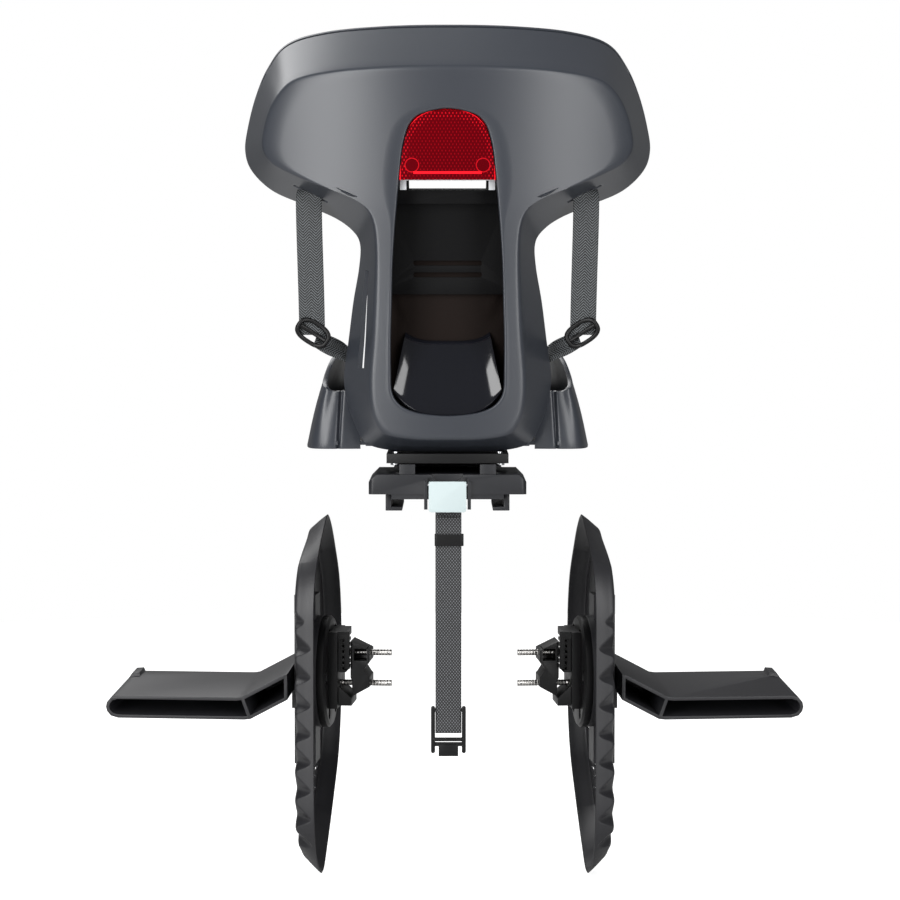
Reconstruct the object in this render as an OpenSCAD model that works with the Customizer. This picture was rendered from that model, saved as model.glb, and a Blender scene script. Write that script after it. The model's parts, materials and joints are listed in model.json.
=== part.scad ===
// Rear child bike seat: winged shell with reflector, harness, rack adapter,
// safety tether and two clamp-on leg guards with height-adjustable foot rests.
// X runs across the seat, +Y is the way the child faces, +Z is up.
// The origin is the middle of the adapter's underside, where it lies on the rack.

/* [Seat shell] */
// Width across the headrest wings
shell_w = 425; // [380:1:470]
// Height of the back shell
shell_h = 436; // [400:1:480]
// Wall thickness of the back shell
shell_t = 4; // [3:0.5:6]
// Backward lean of the back, in degrees
recline = 4.29; // [0:0.01:10]
// How far the wings sweep forward
wing_bow = 40; // [20:1:60]
// Width of the slots the shoulder straps run through
strap_slot = 31; // [28:1:36]

/* [Seat base] */
// Height of the floor's upper face
floor_z = 56; // [50:1:62]
// Wall thickness of the base
base_t = 4; // [3:0.5:6]

/* [Reflector] */
// Half width of the lens at its lower edge
lens_half = 48; // [44:0.5:48.5]
// Height of the lens
lens_h = 69; // [60:1:72]
// Thickness of the lens
lens_t = 9.8; // [6:0.1:12]

/* [Harness] */
// Webbing width
web_w = 26.5; // [20:0.5:30]
// Webbing thickness
web_t = 1.6; // [1.2:0.1:2.4]

/* [Rack adapter] */
// Half width of the adapter plate
adapter_half = 80; // [70:1:90]
// Thickness of the adapter plate
adapter_h = 25; // [20:1:30]
// Half width of the release lever
lever_half = 19; // [15:0.5:22]
// Length of the release lever
lever_len = 31; // [26:1:36]

/* [Leg guards] */
// Distance of each guard's pivot from the middle between them
guard_x = 141.5; // [120:0.5:170]
// Sideways set of both guards
guard_shift = 7.5; // [-10:0.5:10]
// Toe-in of the guards, in degrees
toe_in = 5.2; // [0:0.1:8]
// Height of the pivot above the rack, negative is below
pivot_z = -199; // [-240:1:-160]
// Radius of the pivot drum
hub_r = 60; // [50:1:66]
// Depth of the guard's dish, from its free edge to its outer face
rim_d = 21; // [16:0.5:26]
// Depth of the scoops along the guard's rear edge
scoop_d = 5.5; // [3:0.5:8]
// Diameter of the clamp bolts
bolt_d = 6.6; // [5:0.1:8]
// Distance between the two clamp bolts
bolt_gap = 33; // [28:1:40]

/* [Foot rests] */
// Length of the foot plate along the bike
plate_l = 116; // [90:1:140]
// Width of the foot plate outwards
plate_w = 142; // [110:1:150]
// Upward tilt of the foot plate towards its front, in degrees
plate_tilt = 5; // [0:0.5:8]
// Wall of the hollow foot plate
plate_wall = 3.4; // [2.5:0.1:5]

/* [Hidden] */
$fn = 48;
pivot_y = 60;
// Inner end of the pivot drum, height of the foot rest's knob, heights and reach of the clamp bolts
hub_x = -9.5;
knob_z = -7.5;
bolt_z = [21, 21 - bolt_gap];
bolt_end = 74;
sx = shell_w / 425;
sz = shell_h / 436;
// Control spokes of the back shell, top centre down to bottom centre, one side.
// Each: opening x z, crease x z, rim x z, and how far the rim stands forward.
spokes = [
  [0, 392, 0, 433, 0, 482, 70], [26, 387, 60, 432, 66, 481, 71],
  [37, 378, 112, 429, 126, 477, 78], [42, 366, 151, 422, 166, 467, 88],
  [45, 353, 169, 409, 187, 444, 96], [46.5, 342, 180, 390, 200.5, 415, 100],
  [47.5, 332, 186, 368, 209.5, 383, 103], [48.5, 323, 186, 353, 212.5, 358, 102],
  [49.3, 313, 177, 339.5, 205, 336.5, 98], [50.3, 303, 158, 329, 182, 315, 92],
  [51.2, 292, 130, 317, 145.5, 299, 84], [52.3, 280, 98, 305, 116, 286, 76],
  [53.3, 267, 81, 293, 98, 273, 70], [54.3, 252, 74, 276, 90, 259, 66],
  [55.4, 230, 72, 248, 91, 235, 64], [56, 200, 73, 208, 97, 200, 62],
  [57, 165, 75, 165, 102, 161, 60], [57, 132, 78, 124, 107, 122, 58],
  [56, 109, 77, 97, 103, 96, 54], [48, 96, 72, 79, 95, 73, 48],
  [34, 89, 60, 66, 83, 54.5, 42], [17, 86, 32, 61.5, 52, 47.4, 38], [0, 85, 0, 61, 0, 47, 36]
];
// Seat base wall, rear inner end round the side to the front middle.
// Each: foot x y, top x y z.
base_pts = [
  [90, -49, 92, -42, 103],
  [109.5, -51, 106, -44, 107],
  [113, -47.5, 109.5, -41.5, 107],
  [116.5, -51.5, 113, -44.5, 107],
  [129, -51, 119, -44, 107],
  [140, -44, 127, -42, 111],
  [146, -24, 129.5, -24, 118],
  [148.5, 6, 124.5, 6, 136],
  [149, 40, 118, 40, 146],
  [147, 90, 114, 88, 144],
  [140, 132, 108, 126, 126],
  [124, 163, 96, 154, 100],
  [90, 182, 70, 171, 84],
  [45, 188, 36, 176, 78],
  [0, 189, 0, 177, 77]
];
// Leg guard outline seen from the side, relative to the pivot: forward, up.
guard_pts = [
  [18, 168], [-18, 152], [-52, 132], [-76, 110], [-88, 82], [-90, 40],
  [-90, -30], [-90, -100], [-88, -148], [-76, -180], [-50, -204], [-20, -206],
  [16, -186], [62, -150], [104, -108], [124, -60], [130, 0], [127, 50],
  [112, 92], [82, 126], [48, 156]
];

function lerp(a, b, t) = a + (b - a) * t;
function unit(v) = v / norm(v);
function cr(a, b, c, d, t) = 0.5 * ((2 * b) + (c - a) * t
  + (2 * a - 5 * b + 4 * c - d) * t * t + (3 * b - a - 3 * c + d) * t * t * t);
// A closed smooth loop through the given points
function smooth_loop(p, n) = let (m = len(p))
  [for (i = [0 : m - 1], j = [0 : n - 1])
    cr(p[(i + m - 1) % m], p[i], p[(i + 1) % m], p[(i + 2) % m], j / n)];
// An open smooth run through the given points
function smooth_run(p, n) = let (m = len(p))
  concat([for (i = [0 : m - 2], j = [0 : n - 1])
    cr(p[max(i - 1, 0)], p[i], p[i + 1], p[min(i + 2, m - 1)], j / n)], [p[m - 1]]);
function mirror_row(p, keep) = [for (k = [0 : len(p) - 1]) keep[k] ? -p[k] : p[k]];
function both_sides(rows, keep) = concat(rows,
  [for (i = [len(rows) - 2 : -1 : 1]) mirror_row(rows[i], keep)]);

// A solid made of stations, each a closed run of points; end caps are strips
module loft(L, closed = false) {
  n = len(L);
  m = len(L[0]);
  h = m / 2;
  pts = [for (s = L) each s];
  side = [for (j = [0 : closed ? n - 1 : n - 2], k = [0 : m - 1])
    let (a = j * m + k, b = j * m + (k + 1) % m,
      c = ((j + 1) % n) * m + (k + 1) % m, d = ((j + 1) % n) * m + k)
    each [[a, b, c], [a, c, d]]];
  caps = closed ? [] : [for (k = [0 : h - 2])
    let (a = k, b = k + 1, c = m - 2 - k, d = m - 1 - k, e = (n - 1) * m)
    each [[a, c, b], [a, d, c], [e + a, e + b, e + c], [e + a, e + c, e + d]]];
  polyhedron(points = pts, faces = concat(side, caps), convexity = 8);
}
// A strap: smooth centre line, its width direction at each point, width, thickness
module strap(path, wide, w, t) {
  m = len(path);
  loft([for (i = [0 : m - 1])
    let (d = unit(path[min(i + 1, m - 1)] - path[max(i - 1, 0)]),
      u = unit(wide[i] - d * (d * wide[i])), n = cross(d, u) * t / 2, e = u * w / 2)
    [path[i] - e - n, path[i] + e - n, path[i] + e + n, path[i] - e + n]]);
}
module strap_path(ctrl, wides, n, w, t) {
  strap(smooth_run(ctrl, n), smooth_run(wides, n), w, t);
}
module rsq(w, h, r) {
  union() {
    square([w - 2 * r, h], center = true);
    square([w, h - 2 * r], center = true);
    for (x = [-1, 1], y = [-1, 1])
      translate([x * (w / 2 - r), y * (h / 2 - r)]) circle(r);
  }
}
// A box between two corners
module box(a, b) {
  translate(a) cube(b - a);
}
// A round bar along X between two stations
module xcyl(x0, x1, y, z, r) {
  translate([x0, y, z]) rotate([0, 90, 0]) cylinder(h = x1 - x0, r = r);
}
// Working plane on the middle of the back: local y climbs the back, z stands rearwards
module on_back() {
  translate([0, -112, 48]) rotate([90 + recline, 0, 0]) children();
}
module right_and_left() {
  children();
  mirror([1, 0, 0]) children();
}

// Back shell
function face_y(x, z) = -112 - tan(recline) * (z - 48) + wing_bow * pow(x / 200, 2);
keep7 = [true, false, true, false, true, false, false];
shell_rows = smooth_loop(both_sides(spokes, keep7), 3);
// One spoke as a run of outer points, from the opening's lip to the rim
function shell_run(s) = let (
    ox = s[0] * sx, oz = s[1] * sz, cx = s[2] * sx, cz = s[3] * sz,
    rx = s[4] * sx, rz = s[5] * sz,
    o = [ox, face_y(ox, oz), oz], c = [cx, face_y(cx, cz), cz],
    r = [rx, face_y(cx, cz) + s[6], rz],
    q = unit([cx - ox, 0, cz - oz]),
    a = lerp(c, o, 11 / norm(c - o)), b = lerp(c, r, 11 / norm(r - c)),
    rr = unit([rx - cx, 0, rz - cz]))
  [o + [0, 9, 0], o + [0, 2, 0], o + 2.5 * q + [0, 0.2, 0],
   [lerp(o[0], a[0], 0.5), face_y(lerp(o[0], a[0], 0.5), lerp(o[2], a[2], 0.5)),
    lerp(o[2], a[2], 0.5)],
   a, 0.5 * lerp(a, b, 0.5) + 0.5 * c, b, lerp(b, r, 0.5), lerp(b, r, 0.93), r + rr * 1.2];
shell_grid = [for (s = shell_rows) shell_run(s)];
function grid_n(G, j, i) = let (n = len(G), m = len(G[0]),
    a = G[j][min(i + 1, m - 1)] - G[j][max(i - 1, 0)],
    b = G[(j + 1) % n][i] - G[(j + n - 1) % n][i])
  unit(cross(a, b));
module seat_shell() {
  color([0.30, 0.32, 0.34])
  difference() {
    loft([for (j = [0 : len(shell_grid) - 1]) concat(shell_grid[j],
      [for (i = [len(shell_grid[0]) - 1 : -1 : 0])
        shell_grid[j][i] + shell_t * grid_n(shell_grid, j, i)])], true);
    right_and_left() translate([141 * sx, -76, 309 * sz]) rotate([0, 23, 0])
      cube([strap_slot, 6, 30], center = true);
    translate([-88.5 * sx, -91, 182 * sz]) rotate([0, -4.9, 0]) {
      cube([30, 13, 86], center = true);
      for (e = [-43, 43])
        translate([-15, 0, e]) rotate([0, 90, 0]) cylinder(h = 30, r = 6.5);
    }
  }
}

// Parts seen in the opening
lens_v = 322 - 48;
lens_pts = [[lens_half, 0], [lens_half - 0.8, 10], [lens_half - 2, 20], [lens_half - 3.6, 31],
  [lens_half - 6.7, 43.5], [lens_half - 11.5, 54.5], [lens_half - 17.5, 61.5],
  [lens_half - 25, 66], [lens_half - 34, 68.3], [0, lens_h]];
module arch(inset = 0) {
  p = smooth_run(lens_pts, 3);
  polygon(concat([for (q = p) [q[0] - inset, q[1] - inset]],
    [for (i = [len(p) - 2 : -1 : 0]) [inset - p[i][0], p[i][1] - inset]]));
}
screw_x = 35.5;
module reflector_lens() {
  color([0.62, 0.02, 0.04]) on_back() translate([0, lens_v, 0]) difference() {
    union() {
      translate([0, 0, -2 - lens_t]) linear_extrude(lens_t) arch();
      translate([0, 0, -14.4]) linear_extrude(2.7) arch(-3);
    }
    for (x = [-screw_x, screw_x]) translate([x, 14, -15]) cylinder(h = 6.5, r = 3.1);
  }
}
module reflector_back() {
  color([0.62, 0.63, 0.65]) on_back() translate([0, lens_v, 0]) {
    difference() {
      translate([0, 0, -17.1]) linear_extrude(2.6) arch(1);
      for (x = [-screw_x, screw_x]) translate([x, 14, -19]) cylinder(h = 5, r = 3.1);
    }
    for (x = [-44.5, 44.5]) translate([x, -4, -15.8]) cube([6.5, 13, 2.6], center = true);
  }
}
module reflector_screws() {
  color([0.7, 0.7, 0.72]) on_back() translate([0, lens_v, 0])
    for (x = [-screw_x, screw_x]) translate([x, 14, 0]) {
      translate([0, 0, -19.8]) cylinder(h = 10, r = 3);
      translate([0, 0, -19.8]) cylinder(h = 2.6, r = 5.5);
    }
}
module back_liner() {
  color([0.07, 0.07, 0.08]) on_back() {
    translate([0, 0, -55]) linear_extrude(3) difference() {
      polygon([[-74, 156], [74, 156], [74, 196], [81, 206], [82, 262], [64, 264], [62, 296],
        [40, 296], [39, 264], [-39, 264], [-40, 296], [-62, 296], [-64, 264],
        [-82, 262], [-81, 206], [-74, 196]]);
      translate([0, 176]) rsq(70, 5, 2);
      translate([0, 188]) rsq(70, 5, 2);
    }
    translate([-60, 249, -52.5]) cube([120, 14, 17]);
    for (x = [-45, 45]) translate([x, 275, -44]) cube([9, 42, 17], center = true);
  }
}
// Scooped gloss panel that closes the foot of the opening
module lower_cowl() {
  color([0.13, 0.14, 0.17]) loft([for (s = [-1 : 0.125 : 1])
    let (lo = [55 * s, -105.4 + 15 * s * s, 83.5 + 25 * pow(abs(s), 3.2)],
      hi = [43 * s, -70 + 4 * s * s, 160 + 9 * pow(s, 4)],
      run = [for (t = [0 : 0.2 : 1]) lerp(lo, hi, t) + [0, -2 * sin(180 * t), 0]])
    concat(run, [for (i = [5 : -1 : 0]) run[i] + [0, 2.6, 0]])]);
}

// Cushions
// A crowned pad: outline half width and height, local thickness, rounded edges
module pad(w, h, t, crown) {
  sec = [for (a = [0 : 20 : 340]) let (c = cos(a), s = sin(a))
    [sign(c) * pow(abs(c), 0.45), sign(s) * pow(abs(s), 0.62)]];
  loft([for (v = [-1 : 0.125 : 1]) let (e = pow(max(1 - pow(abs(v), 5), 0.02), 0.35))
    [for (p = sec) [p[0] * w * lerp(0.9, 1, e), v * h,
      p[1] * (t / 2 + (p[1] > 0 ? crown : 0)) * lerp(0.25, 1, e)]]]);
}
module back_cushion() {
  color([0.16, 0.11, 0.09]) on_back() translate([0, 138, -69]) rotate([0, 180, 0])
    pad(73, 110, 20, 4);
}
module seat_cushion() {
  color([0.16, 0.11, 0.09]) difference() {
    translate([0, 54, 69]) pad(95, 98, 20, 4);
    box([-17, 44, 50], [17, 64, 95]);
  }
}

// Seat base
module seat_base() {
  rows = smooth_run(base_pts, 3);
  all = concat(rows, [for (i = [len(rows) - 2 : -1 : 0])
    mirror_row(rows[i], [true, false, true, false, false])]);
  n = len(all);
  color([0.30, 0.32, 0.34]) union() {
    loft([for (j = [0 : n - 1]) let (p = all[j], a = all[max(j - 4, 0)], b = all[min(j + 4, n - 1)],
        t = unit([b[0] - a[0], b[1] - a[1], 0]), q = [-t[1], t[0], 0] * base_t,
        lo = [p[0], p[1], 48], hi = [p[2], p[3], p[4]], mid = lerp(lo, hi, 0.45) - q * 0.5)
      [lo, mid, hi, hi + q, mid + q, lo + q]]);
    translate([0, 0, floor_z - 4]) linear_extrude(4)
      polygon([for (p = all) [p[0] * 0.983, p[1] > 100 ? p[1] - 2 : p[1] + 1]]);
    box([-60, -71, floor_z - 4], [60, -48, floor_z]);
    box([-84, -63.5, floor_z - 4], [84, -48, floor_z]);
  }
}

// Harness
module shoulder_strap() {
  strap_path([[139, -62, 166], [139.5, -69, 210], [141, -77, 280], [141, -76, 309],
      [138, -68, 324], [122, -52, 326], [98, -34, 318], [78, -26, 296], [66, -27, 256],
      [48, -18, 200], [32, -4, 168], [21, 18, 145]],
    [[1, 0, 0], [1, 0, 0], [1, 0, 0.1], [1, 0, -0.4], [0.6, 0.6, -0.5], [0.2, 1, 0.2],
      [0.2, 1, 0.5], [0.8, 0.5, 0.4], [1, 0.2, 0.3], [1, 0.1, 0.3], [1, 0, 0.4], [1, 0, 0.4]],
    5, web_w, web_t);
}
module shoulder_strap_right() {
  color([0.13, 0.13, 0.14]) shoulder_strap();
}
module shoulder_strap_left() {
  color([0.13, 0.13, 0.14]) mirror([1, 0, 0]) shoulder_strap();
}
// Three-bar slider joining the shoulder strap and the hip strap
module slider() {
  translate([138, -66, 168]) rotate([0, -33, 0]) rotate([90, 0, 0]) difference() {
    union() {
      translate([0, 0, -2]) linear_extrude(4) rsq(38, 25, 9);
    }
    translate([0, 0, -5]) linear_extrude(10) translate([0, 6]) rsq(28, 4.4, 2);
    translate([0, 0, -5]) linear_extrude(10) translate([0, -5.5]) rsq(28, 4.4, 2);
  }
}
module slider_right() {
  color([0.16, 0.16, 0.17]) slider();
}
module slider_left() {
  color([0.16, 0.16, 0.17]) mirror([1, 0, 0]) slider();
}
module hip_strap() {
  strap_path([[135, -61, 163], [124, -56, 156], [106, -46, 147], [92, -34, 132], [82, -10, 110],
      [64, 14, 108], [42, 26, 124], [27, 24, 139]],
    [[0.55, 0, 0.8], [0.5, 0, 0.8], [0.45, 0.1, 0.85], [0.2, 0.4, 0.9], [0.3, 0.2, 0.9],
      [0.4, 0.3, 0.8], [0.7, 0.2, 0.6], [0.9, 0.1, 0.4]], 5, web_w * 0.84, web_t);
}
module hip_strap_right() {
  color([0.13, 0.13, 0.14]) hip_strap();
}
module hip_strap_left() {
  color([0.13, 0.13, 0.14]) mirror([1, 0, 0]) hip_strap();
}
module shoulder_pad() {
  translate([63, -24, 243]) rotate([16, -14, 0]) rotate([90, 0, 0]) rotate([0, 180, 0])
    pad(24, 46, 8, 2);
}
module shoulder_pad_right() {
  color([0.12, 0.12, 0.13]) shoulder_pad();
}
module shoulder_pad_left() {
  color([0.12, 0.12, 0.13]) mirror([1, 0, 0]) shoulder_pad();
}
// Working frame of the central buckle: local y climbs its face, z leaves it forwards
module on_buckle() {
  translate([0, 34, 110]) rotate([-68, 0, 0]) rotate([0, 0, 180]) children();
}
module buckle_body() {
  color([0.14, 0.14, 0.15]) on_buckle() difference() {
    translate([0, 0, -9]) linear_extrude(18) rsq(46, 44, 8);
    translate([0, -2, -1]) linear_extrude(12) rsq(24.6, 20.6, 4.3);
    for (x = [-15, 15]) translate([x, 15, 0]) cube([14, 20, 3.2], center = true);
    translate([0, -19, 0]) cube([30, 12, 3.2], center = true);
  }
}
module buckle_button() {
  color([0.70, 0.05, 0.05]) on_buckle()
    translate([0, -2, 1]) linear_extrude(8.6) rsq(24, 20, 4);
}
module tongue() {
  on_buckle() translate([15, 20, 0]) rotate([0, 0, -8]) difference() {
    union() {
      translate([-5.4, -9, -1.2]) cube([10.8, 18, 2.4]);
      translate([0, 15, -1.2]) linear_extrude(2.4) rsq(33, 15, 4);
    }
    translate([0, 16, -3]) linear_extrude(6) rsq(26, 3.6, 1.6);
  }
}
module tongue_right() {
  color([0.55, 0.56, 0.58]) mirror([1, 0, 0]) tongue();
}
module tongue_left() {
  color([0.55, 0.56, 0.58]) tongue();
}
module crotch_strap() {
  color([0.13, 0.13, 0.14])
    strap_path([[0, 54, 57.5], [0, 54, 68], [0, 50, 76], [0, 45.5, 82], [0, 40, 95.5]],
      [[1, 0, 0], [1, 0, 0], [1, 0, 0], [1, 0, 0], [1, 0, 0]], 4, web_w, web_t);
}

// Rack adapter
module seat_bracket() {
  color([0.10, 0.10, 0.11]) difference() {
    union() {
      box([-62, -96, 36], [62, 104, 45.6]);
      box([-50, -69, 45.5], [50, 98, 52]);
    }
    for (x = [-53, 53], y = [-80, 80]) translate([x, y, 30]) cylinder(h = 20, r = 3.1);
  }
}
module bracket_screws() {
  color([0.66, 0.67, 0.69]) for (x = [-53, 53], y = [-80, 80]) translate([x, y, 0]) {
    translate([0, 0, 33.2]) cylinder(h = 2.8, r = 5.2);
    translate([0, 0, 33.2]) cylinder(h = 14, r = 3);
  }
}
module adapter_plate() {
  color([0.15, 0.155, 0.17]) difference() {
    union() {
      translate([0, -45, 5]) linear_extrude(adapter_h - 5) rsq(2 * adapter_half, 120, 5);
      box([-57, -104, 0], [57, 14, 6]);
      box([-58, 10, 0], [58, 105, 22]);
      for (x = [-1, 1]) translate([x * 41, -45, 29]) cube([16, 108, 12], center = true);
      for (x = [-22, 22]) box([x - 1.7, -109.6, -10], [x + 1.7, -100, 18.5]);
      translate([0, 60, 28]) cube([100, 84, 14], center = true);
    }
    box([-20.3, -106, 6], [20.3, -101, 22]);
    box([-9.3, -87.7, 1.7], [9.3, -43.5, 8.3]);
    box([-6.4, -66, -1], [6.4, -43.5, 2]);
    for (x = [-1, 1]) box([x * 33 - 7, -40, -1], [x * 33 + 7, 8, 9]);
    for (x = [-1, 1]) translate([x * adapter_half, -45, adapter_h]) rotate([0, 45, 0])
      cube([11, 130, 11], center = true);
    translate([0, -107, 31]) rotate([-90, 0, 0]) cylinder(h = 14, r = 17);
    for (x = [-53, 53]) translate([x, -80, 20]) cylinder(h = 20, r = 7);
    for (x = [-53, 53]) translate([x, 80, 15]) cylinder(h = 40, r = 7);
    xcyl(-30, 30, -107, 15, 1.6);
    box([-14.2, -95, -2], [16, -88.5, 5]);
  }
}
// Jaws that grip the two edges of the rack's top plate
module rack_jaws() {
  color([0.12, 0.12, 0.13]) for (m = [0, 1]) mirror([m, 0, 0]) difference() {
    box([46, -96, -12.2], [63, 6, 4.9]);
    box([40, -100, -8.2], [57.3, 10, 0]);
    box([40, -100, -0.2], [57.3, 10, 8]);
  }
}
module release_lever() {
  color([0.80, 0.88, 0.89]) difference() {
    union() {
      translate([0, -108.2, 18.4 - lever_len / 2]) rotate([90, 0, 0])
        linear_extrude(3.4) rsq(2 * lever_half, lever_len, 3);
      xcyl(-lever_half, lever_half, -107, 15, 3.2);
      box([-15, -107, 10], [15, -104.5, 14]);
    }
    xcyl(-30, 30, -107, 15, 1.56);
    box([-13, -109.4, -9], [13, -106, 6]);
  }
}
module lever_pin() {
  color([0.6, 0.61, 0.63]) xcyl(-23.6, 23.6, -107, 15, 1.5);
}
module latch_bolt() {
  color([0.6, 0.61, 0.63]) union() {
    box([-9, -78, 2], [9, -44, 8]);
    box([-6, -57, -4], [6, -44, 3]);
  }
}

// Safety tether
tz = -94;
module tether_strap() {
  color([0.13, 0.13, 0.14]) {
    strap_path([[0.9, tz + 2.4, 4.4], [0.9, tz + 2.2, -6], [0.9, tz, -24], [0.9, tz - 0.4, -120],
        [0.9, tz, -222], [0.9, tz + 1, -240]],
      [for (i = [0 : 5]) [1, 0, 0]], 4, web_w, web_t);
    strap_path([[0.9, tz - 3.3, -19], [0.9, tz - 3, -60], [0.9, tz - 3.2, -140],
        [0.9, tz - 3, -215], [0.9, tz - 4.5, -232], [0.9, tz - 4.5, -238]],
      [for (i = [0 : 5]) [1, 0, 0]], 4, web_w, web_t);
  }
}
module strap_keeper() {
  color([0.09, 0.09, 0.10]) translate([1.6, tz - 1.6, -48]) difference() {
    translate([0, 0, 0]) linear_extrude(12) rsq(29.5, 9.4, 2);
    translate([0, 0, -1]) linear_extrude(14) rsq(26, 5.8, 1);
  }
}
module ladder_lock() {
  color([0.10, 0.10, 0.11]) translate([0.9, tz - 1.6, 0]) {
    for (x = [-1, 1]) translate([x * 15.7, 0, -236]) rotate([90, 0, 0])
      translate([0, 0, -5]) linear_extrude(10) rsq(4.2, 47, 2);
    xcyl(-16, 16, 0.2, -216, 1.9);
    xcyl(-16, 16, -3.4, -245.5, 2);
    translate([-10, -5.5, -262.5]) cube([20, 3.2, 12]);
    translate([-15, -4, -252.5]) cube([30, 6, 3.4]);
  }
}

// Leg guards, made for the right side and mirrored
// Local frame of a guard: x outwards through the pivot, y forward, z up
module on_guard() {
  translate([guard_x, pivot_y, pivot_z]) rotate([0, 0, toe_in]) children();
}
// Puts a right-hand piece in its place; the left one is its mirror image
module side(left = false) {
  translate([guard_shift, 0, 0]) mirror([left ? 1 : 0, 0, 0]) on_guard() children();
}
// A shape drawn as forward, up is laid into the guard's plane and pushed outwards
module in_plane(x0, x1) {
  translate([x0, 0, 0]) rotate([90, 0, 90]) linear_extrude(x1 - x0) children();
}
// The rear edge is cut finer than the rest, for its scoops
function rim_n(i) = i > 3 && i < 12 ? ceil(norm(guard_pts[i + 1] - guard_pts[i]) / 7.5) : 3;
guard_loop = let (p = guard_pts, m = len(p)) [for (i = [0 : m - 1]) let (n = rim_n(i))
  for (j = [0 : n - 1]) cr(p[(i + m - 1) % m], p[i], p[(i + 1) % m], p[(i + 2) % m], j / n)];
scoop_turn = 12;
// The rear edge carries a row of scoops: 0 between them, 1 at the middle of each
function scoop(p) = p[0] < 40 && p[1] < 80
  ? (0.5 - 0.5 * cos(p[1] * scoop_turn)) * min(1, (80 - p[1]) / 25) * min(1, (40 - p[0]) / 30) : 0;
// Rim section from the free edge to the outer face: depth, inset, and what a scoop adds to each
rim_steps = [[-1.5, 0, 0, 0], [5, 0.6, 0, 0], [12, 2.2, -1, 3], [rim_d - 3.5, 4.5, -scoop_d, 6],
  [rim_d - 1.5, 9, 0, 8]];
function guard_in(j) = let (n = len(guard_loop), a = guard_loop[(j + n - 1) % n],
    b = guard_loop[(j + 1) % n], t = unit([b[0] - a[0], b[1] - a[1]])) [-t[1], t[0]];
function rim_at(j, k, wall) = let (p = guard_loop[j], q = guard_in(j), r = rim_steps[k],
    w = scoop(p), i = r[1] + r[3] * w + wall * (k > 3 ? 0 : 1))
  [r[0] + r[2] * w - (wall > 0 && k > 3 ? 2.6 : 0), p[0] + q[0] * i, p[1] + q[1] * i];
module guard_slots() {
  for (r = [0 : 8], c = [0 : 3])
    if (c * 34 + (r % 2) * 17 < 62 + r * 9)
      translate([-63 + c * 34 + (r % 2) * 17, -71.3 - r * 12]) rsq(22, 5, 2.4);
}
// The guard is a dish open towards the wheel: plate, rim, pivot boss and foot rest track
module guard() {
  n = len(guard_loop);
  difference() {
    union() {
      in_plane(rim_d - 3.8, rim_d - 1.9) difference() {
        polygon([for (j = [0 : n - 1]) let (r = rim_at(j, 4, 0), q = guard_in(j))
          [r[1], r[2]] - q * 0.6]);
        guard_slots();
      }
      loft([for (j = [0 : n - 1]) concat([for (k = [0 : 4]) rim_at(j, k, 0)],
        [for (k = [4 : -1 : 0]) rim_at(j, k, 2.6)])], true);
      xcyl(0, 3, 0, 0, 52);
      difference() {
        xcyl(2, rim_d - 4, 0, 0, 52);
        xcyl(1, rim_d, 0, 0, 49);
      }
      translate([2.5, -17, -96]) cube([27, 34, 180]);
    }
    xcyl(-1, 7.2, 0, 0, 40.05);
    xcyl(3, 7.2, 0, 0, 46.5);
    translate([8.3, -12, -91]) cube([17.7, 24, 170]);
    translate([25, -6, -100]) cube([10, 12, 190]);
  }
}
module leg_guard_right() {
  color([0.18, 0.18, 0.20]) side() guard();
}
module leg_guard_left() {
  color([0.18, 0.18, 0.20]) side(true) guard();
}
module hub() {
  difference() {
    union() {
      xcyl(hub_x + 2.4, -0.3, 0, 0, hub_r);
      translate([hub_x, 0, 0]) rotate([0, 90, 0]) cylinder(h = 2.5, r1 = hub_r - 2.5, r2 = hub_r);
      xcyl(-0.4, 3.3, 0, 0, 40);
    }
    xcyl(-1, 4, 0, 0, 30);
    for (a = [30 : 60 : 330])
      rotate([a, 0, 0]) translate([hub_x - 1, 0, 48]) rotate([0, 90, 0]) cylinder(h = 6, r = 7);
  }
}
module guard_hub_right() {
  color([0.13, 0.13, 0.15]) side() hub();
}
module guard_hub_left() {
  color([0.13, 0.13, 0.15]) side(true) hub();
}
module hub_ring() {
  difference() {
    xcyl(3.4, 6.4, 0, 0, 44);
    xcyl(0, 9, 0, 0, 32);
  }
}
module hub_ring_right() {
  color([0.50, 0.51, 0.53]) side() hub_ring();
}
module hub_ring_left() {
  color([0.50, 0.51, 0.53]) side(true) hub_ring();
}
// Bracket with its toothed angle adjuster, on the wheel side of the hub
module bracket() {
  difference() {
    union() {
      translate([-19, -32, -36]) cube([9.5, 64, 82]);
      translate([-27, -22, 2]) cube([9, 44, 38]);
      translate([0, 22, 0]) rotate([90, 0, 0]) linear_extrude(44)
        polygon([[-18, -12], [-33, -26], [-33, -34], [-18, -34]]);
      translate([-31.2, -26, 6]) cube([5.4, 6, 40]);
      translate([-27, -26, 38]) cube([9, 52, 8]);
    }
    for (z = [5 : 6 : 35]) translate([-28, -24, z]) cube([5, 48, 2.6]);
    for (z = bolt_z) xcyl(-40, -5, 0, z, bolt_d / 2 + 0.1);
    for (z = bolt_z) xcyl(-14.7, -5, 0, z, bolt_d * 0.82 + 0.2);
  }
}
module stay_bracket_right() {
  color([0.11, 0.11, 0.12]) side() bracket();
}
module stay_bracket_left() {
  color([0.11, 0.11, 0.12]) side(true) bracket();
}
module vblock() {
  difference() {
    translate([0, 18, 0]) rotate([90, 0, 0]) linear_extrude(36)
      polygon([[-31.4, 35], [-48, 27], [-52, 25], [-52, 13], [-50.6, 12], [-46, 5], [-50.6, -2],
        [-52, -3], [-52, -14], [-34, -24], [-33.2, -20], [-33.2, -8], [-31.4, -4]]);
    for (z = bolt_z) xcyl(-60, -25, 0, z, bolt_d / 2 + 0.1);
    translate([-49, -19, 14]) cube([14, 23, 13]);
  }
}
module v_block_right() {
  color([0.12, 0.12, 0.13]) side() vblock();
}
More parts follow.
